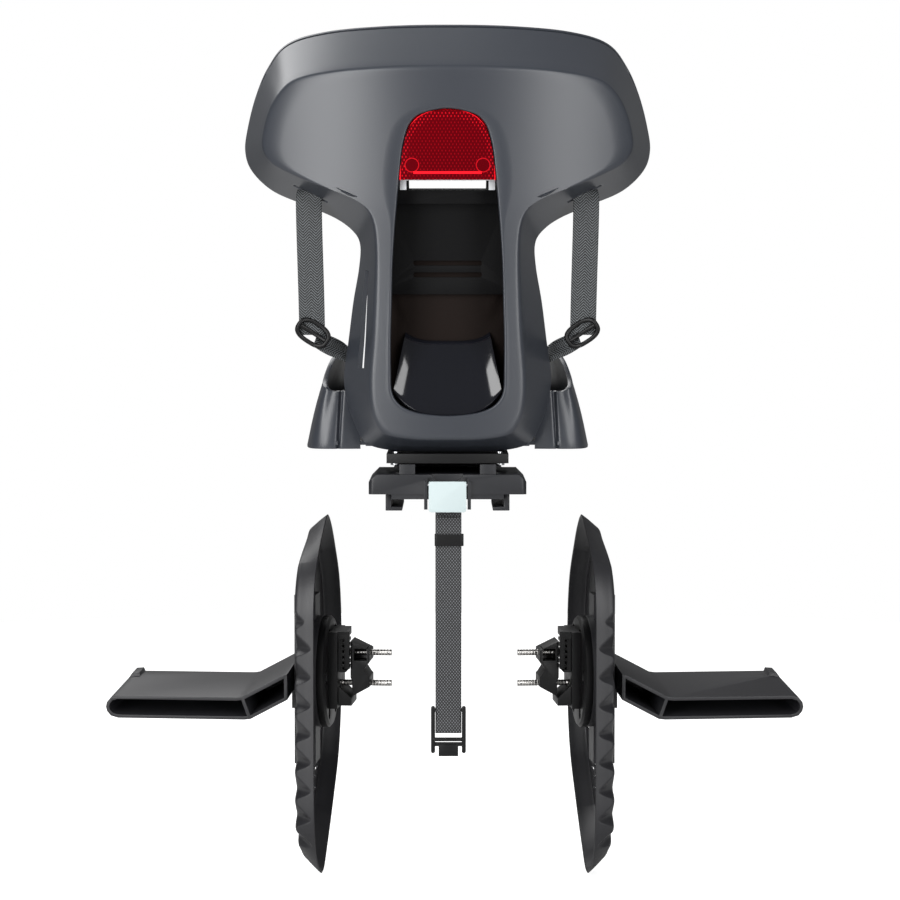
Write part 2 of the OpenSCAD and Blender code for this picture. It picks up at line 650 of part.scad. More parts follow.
module v_block_left() {
  color([0.12, 0.12, 0.13]) side(true) vblock();
}
module bolts() {
  for (z = bolt_z) difference() {
    union() {
      xcyl(-bolt_end, -53, 0, z, bolt_d / 2);
      xcyl(-54, -10.5, 0, z, bolt_d / 2 - 0.2);
      xcyl(-14.5, -9.8, 0, z, bolt_d * 0.82);
    }
    translate([3.5 - bolt_end, -6, z]) rotate([-90, 0, 0]) cylinder(h = 12, r = 1);
  }
}
module clamp_bolts_right() {
  color([0.68, 0.69, 0.71]) side() bolts();
}
module clamp_bolts_left() {
  color([0.68, 0.69, 0.71]) side(true) bolts();
}
// Foot rest: hollow box plate, arm and the root that slides in the guard's track
rest_end = 72 + plate_w;
rest_out = [[31, -18], [71, -39.5], [78, -40.3], [rest_end, -40.3], [rest_end + 8, -38],
  [rest_end + 12, -33], [rest_end + 13, -28.3], [rest_end + 12, -23.5], [rest_end + 8, -18.5],
  [rest_end + 1, -16.3], [86, -16.3], [79.5, -15.3], [36, 8], [31, 9.5]];
module in_rest() {
  rotate([plate_tilt, 0, 0]) translate([0, plate_l / 2, 0]) rotate([90, 0, 0]) children();
}
module rest() {
  difference() {
    union() {
      in_rest() linear_extrude(plate_l) polygon(rest_out);
      in_rest() linear_extrude(26)
        polygon([[rest_end - 6, -18], [rest_end - 4, -12.4], [rest_end + 4, -13], [rest_end + 9, -20]]);
      translate([9.2, -11.4, -46]) cube([16.2, 22.8, 60]);
      translate([20, -5.6, -40]) cube([14, 11.2, 44]);
    }
    in_rest() translate([0, 0, 8]) linear_extrude(plate_l) difference() {
      offset(delta = -plate_wall) polygon(rest_out);
      polygon([[69, -42], [72.6, -42], [83, -12], [79.4, -12]]);
    }
    xcyl(22, 50, 0, knob_z, 4.1);
  }
}
module knob() {
  difference() {
    union() {
      xcyl(24, 38, 0, knob_z, 4);
      xcyl(35, 42, 0, knob_z, 6.8);
    }
    for (a = [0 : 30 : 330]) translate([39, 0, knob_z]) rotate([a, 0, 0])
      translate([-4, -0.5, 6.2]) cube([8, 1, 2]);
  }
}
module foot_rest_right() {
  color([0.20, 0.20, 0.22]) side() rest();
}
module foot_rest_left() {
  color([0.20, 0.20, 0.22]) side(true) rest();
}
module rest_knob_right() {
  color([0.09, 0.09, 0.10]) side() knob();
}
module rest_knob_left() {
  color([0.09, 0.09, 0.10]) side(true) knob();
}

seat_shell();
seat_base();
back_liner();
lower_cowl();
back_cushion();
seat_cushion();
reflector_lens();
reflector_back();
reflector_screws();
shoulder_strap_left();
shoulder_strap_right();
slider_left();
slider_right();
hip_strap_left();
hip_strap_right();
shoulder_pad_left();
shoulder_pad_right();
buckle_body();
buckle_button();
tongue_left();
tongue_right();
crotch_strap();
seat_bracket();
bracket_screws();
adapter_plate();
rack_jaws();
release_lever();
lever_pin();
latch_bolt();
tether_strap();
strap_keeper();
ladder_lock();
leg_guard_left();
leg_guard_right();
guard_hub_left();
guard_hub_right();
hub_ring_left();
hub_ring_right();
stay_bracket_left();
stay_bracket_right();
v_block_left();
v_block_right();
clamp_bolts_left();
clamp_bolts_right();
foot_rest_left();
foot_rest_right();
rest_knob_left();
rest_knob_right();
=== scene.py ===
"""Looks of a rear child bike seat: winged shell, reflector, harness, rack adapter, tether, leg guards, foot rests."""

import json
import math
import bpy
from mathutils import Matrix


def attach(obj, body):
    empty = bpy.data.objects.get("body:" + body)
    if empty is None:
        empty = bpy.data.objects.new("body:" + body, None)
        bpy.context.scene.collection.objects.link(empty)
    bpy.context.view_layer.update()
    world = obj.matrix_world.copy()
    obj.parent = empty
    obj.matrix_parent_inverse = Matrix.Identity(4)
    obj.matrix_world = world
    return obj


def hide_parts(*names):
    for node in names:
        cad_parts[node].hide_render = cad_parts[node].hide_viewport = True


bl_info = {
    "name": "Rear child bike seat",
    "version": (1, 0, 0),
    "blender": (4, 5, 0),
    "location": "3D View > Sidebar > Bike seat",
    "description": "Builds the seat's pieces, finishes and studio round its packed frame",
    "category": "Object",
}

from functools import partial

import bmesh
import bpy
import numpy as np
from bpy.props import FloatProperty, IntProperty, PointerProperty
from mathutils import Euler, Vector

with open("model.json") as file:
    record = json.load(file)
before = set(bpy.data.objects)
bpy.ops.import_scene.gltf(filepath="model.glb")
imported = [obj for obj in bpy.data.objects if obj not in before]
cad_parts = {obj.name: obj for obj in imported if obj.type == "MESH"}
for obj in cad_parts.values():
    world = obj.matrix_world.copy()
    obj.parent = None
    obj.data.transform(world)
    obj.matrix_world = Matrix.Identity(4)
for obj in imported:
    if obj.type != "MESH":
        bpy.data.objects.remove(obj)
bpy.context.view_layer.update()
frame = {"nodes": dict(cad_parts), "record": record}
MM = 0.001
# Lean of the back, turn of the guards about their pivots, bow of the wings and thickness of the shell, in mm.
RECLINE = math.radians(4.29)
TOE_IN = math.radians(5.2)
WING_BOW = 40.0
WALL = 4.0
# Webbing: shoulder and tether width, hip width, thickness, in mm.
WIDE_STRAP, HIP_STRAP, STRAP_THICK = 26.5, 22.3, 1.6
# Guard: depths of its free edge and outer face, lowest and highest point of the foot rest's track, in mm.
FREE_EDGE, OUTER_FACE = -1.5, 19.4
TRACK_FOOT, TRACK_TOP = -98.0, 84.0
# Finishes by name, filled by make_materials.
FINISH = {}
# Each row is one spoke of the back shell from top centre to bottom centre, in mm:
# opening x z, crease x z, rim x z, and how far the rim stands forward of the crease.
SPOKES = [
    (0, 392, 0, 433, 0, 482, 70), (26, 387, 60, 432, 66, 481, 71),
    (37, 378, 112, 429, 126, 477, 78), (42, 366, 151, 422, 166, 467, 88),
    (45, 353, 169, 409, 187, 444, 96), (46.5, 342, 180, 390, 200.5, 415, 100),
    (47.5, 332, 186, 368, 209.5, 383, 103), (48.5, 323, 186, 353, 212.5, 358, 102),
    (49.3, 313, 177, 339.5, 205, 336.5, 98), (50.3, 303, 158, 329, 182, 315, 92),
    (51.2, 292, 130, 317, 145.5, 299, 84), (52.3, 280, 98, 305, 116, 286, 76),
    (53.3, 267, 81, 293, 98, 273, 70), (54.3, 252, 74, 276, 90, 259, 66),
    (55.4, 230, 72, 248, 91, 235, 64), (56, 200, 73, 208, 97, 200, 62),
    (57, 165, 75, 165, 102, 161, 60), (57, 132, 78, 124, 107, 122, 58),
    (56, 109, 77, 97, 103, 96, 54), (48, 96, 72, 79, 95, 73, 48),
    (34, 89, 60, 66, 83, 54.5, 42), (17, 86, 32, 61.5, 52, 47.4, 38), (0, 85, 0, 61, 0, 47, 36),
]
# Each row is one station of the seat base's wall from its rear inner end to the front middle,
# in mm: foot x y, top x y z.
BASE_STATIONS = [
    (90, -49, 92, -42, 103), (109.5, -51, 106, -44, 107), (113, -47.5, 109.5, -41.5, 107),
    (116.5, -51.5, 113, -44.5, 107), (129, -51, 119, -44, 107), (140, -44, 127, -42, 111),
    (146, -24, 129.5, -24, 118), (148.5, 6, 124.5, 6, 136), (149, 40, 118, 40, 146),
    (147, 90, 114, 88, 144), (140, 132, 108, 126, 126), (124, 163, 96, 154, 100),
    (90, 182, 70, 171, 84), (45, 188, 36, 176, 78), (0, 189, 0, 177, 77),
]
# Outline of a leg guard seen from the side, in mm from its pivot: forward, up.
GUARD_OUTLINE = [
    (18, 168), (-18, 152), (-52, 132), (-76, 110), (-88, 82), (-90, 40),
    (-90, -30), (-90, -100), (-88, -148), (-76, -182), (-50, -206), (-19, -213),
    (16, -189), (62, -150), (104, -108), (124, -60), (130, 0), (127, 50),
    (112, 92), (82, 126), (48, 156),
]


def linear(hex_colour):
    """sRGB hex to linear RGBA: below 0.04045 divided by 12.92, above it ((c + 0.055) / 1.055) ** 2.4."""
    c = np.array([int(hex_colour[i : i + 2], 16) for i in (1, 3, 5)]) / 255
    return (*np.where(c <= 0.04045, c / 12.92, ((c + 0.055) / 1.055) ** 2.4).tolist(), 1.0)


def smooth_through(rows, steps, closed):
    """Catmull-Rom spline through the rows: each span is a cubic whose end slopes are half the
    distance between the neighbours, sampled steps times."""
    p = np.asarray(rows, float)
    n = len(p)
    i = np.arange(n if closed else n - 1)
    t = (np.arange(steps) / steps)[None, :, None]
    if closed:
        a, b, c, d = (p[(i + k) % n][:, None] for k in (-1, 0, 1, 2))
    else:
        a, b, c, d = (p[np.clip(i + k, 0, n - 1)][:, None] for k in (-1, 0, 1, 2))
    out = 0.5 * (2 * b + (c - a) * t + (2 * a - 5 * b + 4 * c - d) * t**2 + (3 * b - a - 3 * c + d) * t**3)
    out = out.reshape(-1, p.shape[1])
    return out if closed else np.vstack([out, p[-1:]])


def grid_faces(nu, nv, close_u, close_v, flip=False):
    """Quads of a nu by nv grid of points numbered row by row; a closed way joins its last row to its first."""
    u = np.arange(nu if close_u else nu - 1)
    v = np.arange(nv if close_v else nv - 1)
    uu, vv = np.meshgrid(u, v, indexing="ij")
    a = uu * nv + vv
    b = ((uu + 1) % nu) * nv + vv
    c = ((uu + 1) % nu) * nv + (vv + 1) % nv
    d = uu * nv + (vv + 1) % nv
    quads = np.stack([a, b, c, d], -1).reshape(-1, 4)
    return quads[:, ::-1] if flip else quads


def make_piece(name, points_mm, faces, uv=None):
    """A mesh object at the origin from points in mm and faces; uv gives one pair per point."""
    mesh = bpy.data.meshes.new(name)
    mesh.from_pydata((np.asarray(points_mm, float) * MM).tolist(), [], [list(map(int, f)) for f in faces])
    if uv is not None:
        layer = mesh.uv_layers.new(name="weave")
        loops = np.empty(len(mesh.loops), int)
        mesh.loops.foreach_get("vertex_index", loops)
        layer.data.foreach_set("uv", np.asarray(uv, float)[loops].ravel())
    piece = bpy.data.objects.new(name, mesh)
    bpy.context.scene.collection.objects.link(piece)
    return piece


def shade(piece, sharp_deg=32):
    """Smooth shading, with edges that turn more than sharp_deg kept crisp."""
    piece.data.polygons.foreach_set("use_smooth", np.ones(len(piece.data.polygons), bool))
    piece.data.set_sharp_from_angle(angle=math.radians(sharp_deg))


def outward(piece):
    """Turns a closed mesh's faces outwards, after its doubles are merged."""
    bm = bmesh.new()
    bm.from_mesh(piece.data)
    bmesh.ops.remove_doubles(bm, verts=bm.verts, dist=1e-6)
    bmesh.ops.recalc_face_normals(bm, faces=bm.faces)
    bm.to_mesh(piece.data)
    bm.free()


def bake_modifiers(piece):
    """Applies the piece's modifiers to its mesh."""
    depsgraph = bpy.context.evaluated_depsgraph_get()
    mesh = bpy.data.meshes.new_from_object(piece.evaluated_get(depsgraph))
    piece.modifiers.clear()
    piece.data = mesh


def finish_piece(piece, material, body, nodes=(), sharp_deg=32):
    """Gives a piece its material, body and shading, and hides the CAD nodes it stands for."""
    piece.data.materials.clear()
    piece.data.materials.append(material)
    shade(piece, sharp_deg)
    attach(piece, body)
    if nodes:
        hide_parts(*nodes)
    return piece


def cad_body(node):
    """The body that a CAD node belongs to."""
    bodies = frame["record"]["behaviour"]["bodies"]
    return next(name for name, nodes in bodies.items() if node in nodes)


def eased_copy(node, edge_mm, material, segments=2, sharp_deg=32):
    """A copy of a CAD node with its flat faces joined and its hard edges rounded by edge_mm."""
    source = frame["nodes"][node]
    mesh = source.data.copy()
    mesh.name = node + "_eased"
    bm = bmesh.new()
    bm.from_mesh(mesh)
    bmesh.ops.remove_doubles(bm, verts=bm.verts, dist=2e-6)
    bmesh.ops.dissolve_limit(bm, angle_limit=math.radians(0.6), verts=bm.verts, edges=bm.edges)
    if edge_mm > 0:
        hard = [e for e in bm.edges if len(e.link_faces) == 2 and e.calc_face_angle(0) > math.radians(28)]
        bmesh.ops.bevel(bm, geom=hard, offset=edge_mm * MM, segments=segments, profile=0.6,
                        affect="EDGES", clamp_overlap=True, harden_normals=False)
    bm.to_mesh(mesh)
    bm.free()
    piece = bpy.data.objects.new(node + "_eased", mesh)
    bpy.context.scene.collection.objects.link(piece)
    return finish_piece(piece, material, cad_body(node), [node], sharp_deg=sharp_deg)


def add_node(tree, kind, values=None, **links):
    """Adds a shader node. values sets inputs by name and properties by attribute; links joins inputs
    (spaces as underscores) to other nodes' sockets."""
    node = tree.nodes.new(kind)
    for key, value in (values or {}).items():
        if isinstance(key, int) or key in node.inputs:
            node.inputs[key].default_value = value
        else:
            setattr(node, key, value)
    for key, socket in links.items():
        tree.links.new(socket, node.inputs[key.replace("_", " ")])
    return node


def surface(name, colour, roughness, metallic=0.0, **sockets):
    """A material whose constants sit on the Principled shader's own sockets. Returns material, tree and shader."""
    material = bpy.data.materials.new(name)
    material.use_nodes = True
    tree = material.node_tree
    shader = tree.nodes["Principled BSDF"]
    shader.inputs["Base Color"].default_value = linear(colour)
    shader.inputs["Roughness"].default_value = roughness
    shader.inputs["Metallic"].default_value = metallic
    for key, value in sockets.items():
        shader.inputs[key.replace("_", " ")].default_value = value
    return material, tree, shader


def grained(material_parts, grain_mm, depth_mm, strength=1.0):
    """Adds a moulded grain: noise of the given size in mm on Object coordinates drives a bump."""
    material, tree, shader = material_parts
    place = add_node(tree, "ShaderNodeTexCoord")
    noise = add_node(tree, "ShaderNodeTexNoise", {"Scale": 1 / (grain_mm * MM), "Detail": 2.0},
                     Vector=place.outputs["Object"])
    bump = add_node(tree, "ShaderNodeBump", {"Strength": strength, "Distance": depth_mm * MM},
                    Height=noise.outputs["Fac"])
    tree.links.new(bump.outputs["Normal"], shader.inputs["Normal"])
    return material


def make_materials():
    """Every finish of the seat by name."""
    m = {}
    # Polypropylene, injection moulded against a fine spark-eroded tool: satin, with a broad soft sheen.
    m["shell"] = grained(surface("moulded_polypropylene_shell", "#2C2F35", 0.33), 0.5, 0.03, 0.3)
    # Glass-filled nylon, moulded: near black, its fibres dull the sheen.
    m["nylon"] = grained(surface("moulded_nylon_black", "#070708", 0.40, Specular_IOR_Level=0.25), 0.4, 0.03, 0.3)
    # Polypropylene of the liner, black and moulded rough; its near-black colour is the black plastic darkened further
    # as painted shade, so that the inside of the opening stays dark.
    m["inside"] = grained(surface("black_liner_with_painted_shade", "#040405", 0.6, Specular_IOR_Level=0.12),
                          0.5, 0.03, 0.3)
    # Glass-filled nylon of the rack adapter, moulded: a shade lighter than the clamps.
    m["adapter"] = grained(surface("moulded_nylon_adapter", "#15161A", 0.42, Specular_IOR_Level=0.4), 0.4, 0.03, 0.35)
    # Polypropylene guards, moulded with a coarser leather-like grain that breaks the reflections up.
    m["guard"] = grained(surface("grained_polypropylene_guard", "#1C1C1F", 0.46), 0.7, 0.05, 0.4)
    # Polished ABS: the gloss panel at the foot of the opening mirrors the soft boxes.
    m["gloss"] = surface("polished_abs_panel", "#101116", 0.09)[0]
    m["lens"] = prism_lens()
    # Grey polycarbonate behind the lens, moulded satin.
    m["grey"] = grained(surface("moulded_polycarbonate_grey", "#C9CBCE", 0.45), 0.5, 0.02, 0.3)
    # ABS in a pale tint, moulded satin: the lever's face.
    m["lever"] = grained(surface("moulded_abs_pale_lever", "#A9B5B6", 0.45), 0.5, 0.02, 0.25)
    # Zinc-plated steel, as on the pins and tongues: bright with a soft edge.
    m["steel"] = surface("zinc_plated_steel", "#BFC0C2", 0.3, 1.0)[0]
    # Red ABS, moulded glossy: the buckle's button.
    m["button"] = surface("moulded_abs_red_button", "#A00E0E", 0.3)[0]
    # Polypropylene webbing: the harness is woven in chevrons, the tether in a plain basket weave.
    m["chevron"] = weave_finish("herringbone_webbing", "#040505", "#63676A", 1.0, 2.9, 13.0, 0.4)
    m["basket"] = weave_finish("basket_webbing", "#040405", "#6A6C70", 3.0, 3.6, 0, 0.4)
    m["thread"] = threaded_steel()
    # Closed-cell EVA foam: matt and slightly pitted, dark brown.
    m["foam"] = grained(surface("moulded_eva_foam_pad", "#140D0A", 0.85, Specular_IOR_Level=0.15), 1.2, 0.12, 0.5)
    # Knitted polyester over thin foam: matt, with a soft uneven face.
    m["pad"] = grained(surface("knitted_shoulder_pad", "#161719", 0.85), 0.9, 0.15, 0.6)
    return m


def math_node(tree, operation, first, second=None):
    """One step of arithmetic; either side is a socket or a number. Returns its result."""
    node = add_node(tree, "ShaderNodeMath", {"operation": operation})
    for index, value in enumerate((first, second)):
        if value is None:
            continue
        if isinstance(value, (int, float)):
            node.inputs[index].default_value = value
        else:
            tree.links.new(value, node.inputs[index])
    return node.outputs[0]


def near(calc, value, centre_mm, reach_mm):
    """1 where value lies within reach_mm of centre_mm, else 0."""
    return calc("LESS_THAN", calc("ABSOLUTE", calc("SUBTRACT", value, centre_mm * MM)), reach_mm * MM)


def prism_lens():
    """Red acrylic lens: corner-cube prisms in a hexagonal lattice of 3.6 mm behind a smooth face, a plain
    circle round each screw boss and a brighter bar along the foot. The prisms' glints are painted highlights, bright
    spots on a deep red, stronger in a band round the edge, where arch = (|x| / 48) ** 2.6 + ((z - 330) / 62) ** 2.6
    passes 0.66, and a painted highlight of the lamps on the bevel runs along the rim, where arch passes 0.93."""
    material, tree, shader = surface("acrylic_reflector_lens", "#4E0005", 0.1)
    calc = partial(math_node, tree)
    place = add_node(tree, "ShaderNodeTexCoord")
    axes = add_node(tree, "ShaderNodeSeparateXYZ", Vector=place.outputs["Object"])
    x, z = axes.outputs["X"], axes.outputs["Z"]
    turn = 2 * math.pi / MM
    # Painted highlights: the prisms' glints, as bright spots where both waves peak on the deep red.
    wave_x = calc("COSINE", calc("MULTIPLY", x, turn / 3.6))
    wave_z = calc("COSINE", calc("MULTIPLY", z, turn / 6.2))
    painted_prism_glints = add_node(tree, "ShaderNodeMapRange", {"From Min": 0.35, "From Max": 1.0},
                      Value=calc("MULTIPLY", wave_x, wave_z))
    side = calc("SUBTRACT", calc("ABSOLUTE", x), 35.5 * MM)
    rise = calc("SUBTRACT", z, 336 * MM)
    away = calc("SQRT", calc("ADD", calc("POWER", side, 2.0), calc("POWER", rise, 2.0)))
    in_boss = calc("LESS_THAN", away, 6.4 * MM)
    on_ring = near(calc, away, 6.8, 0.5)
    on_bar = calc("MULTIPLY", near(calc, z, 328.6, 1.3), near(calc, x, 0, 34))
    reach = calc("POWER", calc("DIVIDE", calc("ABSOLUTE", x), 48 * MM), 2.6)
    climb = calc("MAXIMUM", calc("SUBTRACT", z, 330 * MM), 0.0)
    climb = calc("POWER", calc("DIVIDE", climb, 62 * MM), 2.6)
    arch = calc("ADD", reach, climb)
    weight = calc("ADD", 0.2, calc("MULTIPLY", calc("GREATER_THAN", arch, 0.66), 0.42))
    bright = calc("MULTIPLY", calc("MULTIPLY", painted_prism_glints.outputs[0], calc("SUBTRACT", 1.0, in_boss)), weight)
    bright = calc("MAXIMUM", bright, calc("MULTIPLY", on_ring, 0.4))
    bright = calc("MAXIMUM", bright, on_bar)
    # Painted highlight: the lamps' reflection on the rim's bevel, a pale red band where arch passes 0.93.
    bright = calc("MAXIMUM", bright, calc("MULTIPLY", calc("GREATER_THAN", arch, 0.93), 0.75))
    two_colours(tree, shader, bright, "#4E0005", "#F01824")
    shader.inputs["Specular Tint"].default_value = linear("#FF8090")
    return material


def two_colours(tree, shader, share, low, high):
    """Colours the shader between two sRGB hex colours by a socket that runs from 0 to 1."""
    tint = add_node(tree, "ShaderNodeMix", {"data_type": "RGBA"})
    factor, first, second, result = tint.inputs[0], tint.inputs[6], tint.inputs[7], tint.outputs[2]
    first.default_value, second.default_value = linear(low), linear(high)
    tree.links.new(share, factor)
    tree.links.new(result, shader.inputs["Base Color"])


def threaded_steel():
    """Zinc-plated bolts: rings of the rolled thread 3.2 mm apart along X, as a bump. The wave texture repeats
    every 0.1 pi / scale, and a real thread's 1 mm would not show at this distance."""
    material, tree, shader = surface("zinc_plated_thread", "#B9B7B4", 0.32, 1.0)
    place = add_node(tree, "ShaderNodeTexCoord")
    rings = add_node(tree, "ShaderNodeTexWave",
                     {"wave_type": "BANDS", "bands_direction": "X", "Scale": 0.1 * math.pi / (3.2 * MM)},
                     Vector=place.outputs["Object"])
    bump = add_node(tree, "ShaderNodeBump", {"Strength": 1.0, "Distance": 0.4 * MM}, Height=rings.outputs["Fac"])
    tree.links.new(bump.outputs["Normal"], shader.inputs["Normal"])
    return material


def weave_finish(name, warp, weft, pitch_mm, row_mm, zigzag_mm, depth_mm):
    """Polypropylene webbing on UV in mm: rows of threads that run in chevrons zigzag_mm wide, or, when that
    is 0, cross each other in a basket weave."""
    material, tree, shader = surface(name, warp, 0.62)
    calc = partial(math_node, tree)
    place = add_node(tree, "ShaderNodeUVMap", {"uv_map": "weave"})
    axes = add_node(tree, "ShaderNodeSeparateXYZ", Vector=place.outputs["UV"])
    u, v = axes.outputs["X"], axes.outputs["Y"]
    if zigzag_mm:
        lean = calc("ADD", v, calc("PINGPONG", u, zigzag_mm / 2))
        height = calc("SINE", calc("MULTIPLY", lean, 2 * math.pi / row_mm))
    else:
        rows = calc("SINE", calc("MULTIPLY", v, 2 * math.pi / row_mm))
        columns = calc("SINE", calc("MULTIPLY", u, 2 * math.pi / pitch_mm))
        height = calc("MULTIPLY", rows, columns)
    level = add_node(tree, "ShaderNodeMapRange", {"From Min": 0.0, "From Max": 1.0}, Value=height)
    two_colours(tree, shader, level.outputs[0], warp, weft)
    bump = add_node(tree, "ShaderNodeBump", {"Strength": 0.8, "Distance": depth_mm * MM},
                    Height=level.outputs[0])
    tree.links.new(bump.outputs["Normal"], shader.inputs["Normal"])
    return material


def unit(v):
    """Vectors scaled to length one along the last axis."""
    return v / np.maximum(np.linalg.norm(v, axis=-1, keepdims=True), 1e-9)


def both_halves(rows, flipped):
    """A closed run made of rows and, back again, their mirror images; flipped columns change sign."""
    rows = np.asarray(rows, float)
    sign = np.where(np.isin(np.arange(rows.shape[1]), flipped), -1, 1)
    return np.vstack([rows, rows[-2:0:-1] * sign])


def face_y(x, z):
    """The back's rear face: leans back with height and bows forward towards the wings as (x / 200) squared."""
    return -112 - math.tan(RECLINE) * (z - 48) + WING_BOW * (x / 200) ** 2


def grid_normals(grid):
    """Normals of a grid closed in its first way: cross product of its central differences."""
    along = np.roll(grid, -1, 0) - np.roll(grid, 1, 0)
    across = np.gradient(grid, axis=1)
    return unit(np.cross(across, along))


def join_parts(parts):
    """Points and faces of several closed parts as one list of each."""
    points, faces, start = [], [], 0
    for part_points, part_faces in parts:
        points.append(np.asarray(part_points, float).reshape(-1, 3))
        faces += [tuple(int(i) + start for i in f) for f in part_faces]
        start += len(points[-1])
    return np.vstack(points), faces


def closed_loft(stations, ends="cap"):
    """Points and faces of a solid through stations of closed rings. Its ends are capped, or joined when ends
    is 'join'."""
    n, m = stations.shape[:2]
    faces = grid_faces(n, m, ends == "join", True).tolist()
    if ends == "cap":
        faces += [list(range(m))[::-1], [(n - 1) * m + k for k in range(m)]]
    return stations.reshape(-1, 3), faces


def ribbon(path, wides, steps, width, thick):
    """A strap: spline through path, its width direction from wides, section a flat bar with round edges.
    Returns rings and UV in mm: across the width, and along the length."""
    line = smooth_through(path, steps, False)
    wide = smooth_through(wides, steps, False)
    along = unit(np.gradient(line, axis=0))
    wide = unit(wide - along * np.sum(wide * along, -1, keepdims=True))
    normal = np.cross(along, wide)
    h, t = width / 2, thick / 2
    across = np.array([-h, -h + 0.25, -h + 1.2, *np.linspace(-h + 3, h - 3, 7), h - 1.2, h - 0.25, h])
    rise = np.interp(np.abs(across), [0, h - 1.2, h - 0.25, h], [t, t * 0.95, t * 0.55, 0])
    loop_x = np.concatenate([across, across[-2:0:-1]])
    loop_y = np.concatenate([rise, -rise[-2:0:-1]])
    rings = line[:, None] + wide[:, None] * loop_x[None, :, None] + normal[:, None] * loop_y[None, :, None]
    length = np.concatenate([[0], np.cumsum(np.linalg.norm(np.diff(line, axis=0), axis=1))])
    uv = np.stack(np.broadcast_arrays(loop_x[None], length[:, None]), -1)
    return rings, uv.reshape(-1, 2)


def strap_piece(name, runs, material, node, steps=8):
    """One node's straps: each run is path, width directions, width and thickness."""
    parts, uvs = [], []
    for path, wides, width, thick in runs:
        rings, uv = ribbon(path, wides, steps, width, thick)
        parts.append(closed_loft(rings))
        uvs.append(uv)
    points, faces = join_parts(parts)
    piece = make_piece(name, points, faces, np.vstack(uvs))
    bm = bmesh.new()
    bm.from_mesh(piece.data)
    bmesh.ops.recalc_face_normals(bm, faces=bm.faces)
    bm.to_mesh(piece.data)
    bm.free()
    return finish_piece(piece, material, "seat", [node], sharp_deg=50)


def revolve(profile, sides=96):
    """A closed loop of (x, r) points turned round the X axis: (x, r cos a, r sin a)."""
    p = np.asarray(profile, float)
    a = np.linspace(0, 2 * math.pi, sides, endpoint=False)[:, None]
    x, r = p[None, :, 0], p[None, :, 1]
    rings = np.stack(np.broadcast_arrays(x, r * np.cos(a), r * np.sin(a)), -1)
    return closed_loft(rings, "join")


def guard_place(points, side):
    """Guard frame to the row's frame: x outwards, y forward, z up, turned by the toe-in round the pivot;
    the left side is the right one's mirror image about x = 7.5."""
    x, y, z = np.moveaxis(np.asarray(points, float), -1, 0)
    c, s = math.cos(TOE_IN), math.sin(TOE_IN)
    right = np.stack([149 + x * c - y * s, 60 + x * s + y * c, -199 + z], -1)
    if side == "left":
        right[..., 0] = 15 - right[..., 0]
    return right


def cut(piece, cutter, how="DIFFERENCE"):
    """Cuts one mesh out of another and removes the cutter."""
    tool = piece.modifiers.new("cut", "BOOLEAN")
    tool.operation, tool.object, tool.solver = how, cutter, "EXACT"
    bake_modifiers(piece)
    bpy.data.objects.remove(cutter)


class SeatSizes(bpy.types.PropertyGroup):
    """Sizes that a user would change."""

    edge_round: FloatProperty(
        name="Edge rounding", description="Radius of the moulded pieces' edges",
        default=0.8 * MM, min=0.1 * MM, max=2 * MM, precision=4, unit="LENGTH", subtype="DISTANCE")
    crease: FloatProperty(
        name="Crease", description="How far the round between back and side wall reaches",
        default=4.5 * MM, min=2 * MM, max=12 * MM, precision=4, unit="LENGTH", subtype="DISTANCE")
    lip_groove: FloatProperty(
        name="Lip groove", description="Depth of the groove under the headrest's lip",
        default=2.6 * MM, min=0, max=3 * MM, precision=4, unit="LENGTH", subtype="DISTANCE")
    fineness: IntProperty(
        name="Fineness", description="Steps between two control rows of a moulded surface",
        default=7, min=2, max=12)
    camera_distance: FloatProperty(
        name="Camera distance", description="From the camera to the back of the shell",
        default=2.5, min=1, max=6, unit="LENGTH", subtype="DISTANCE")


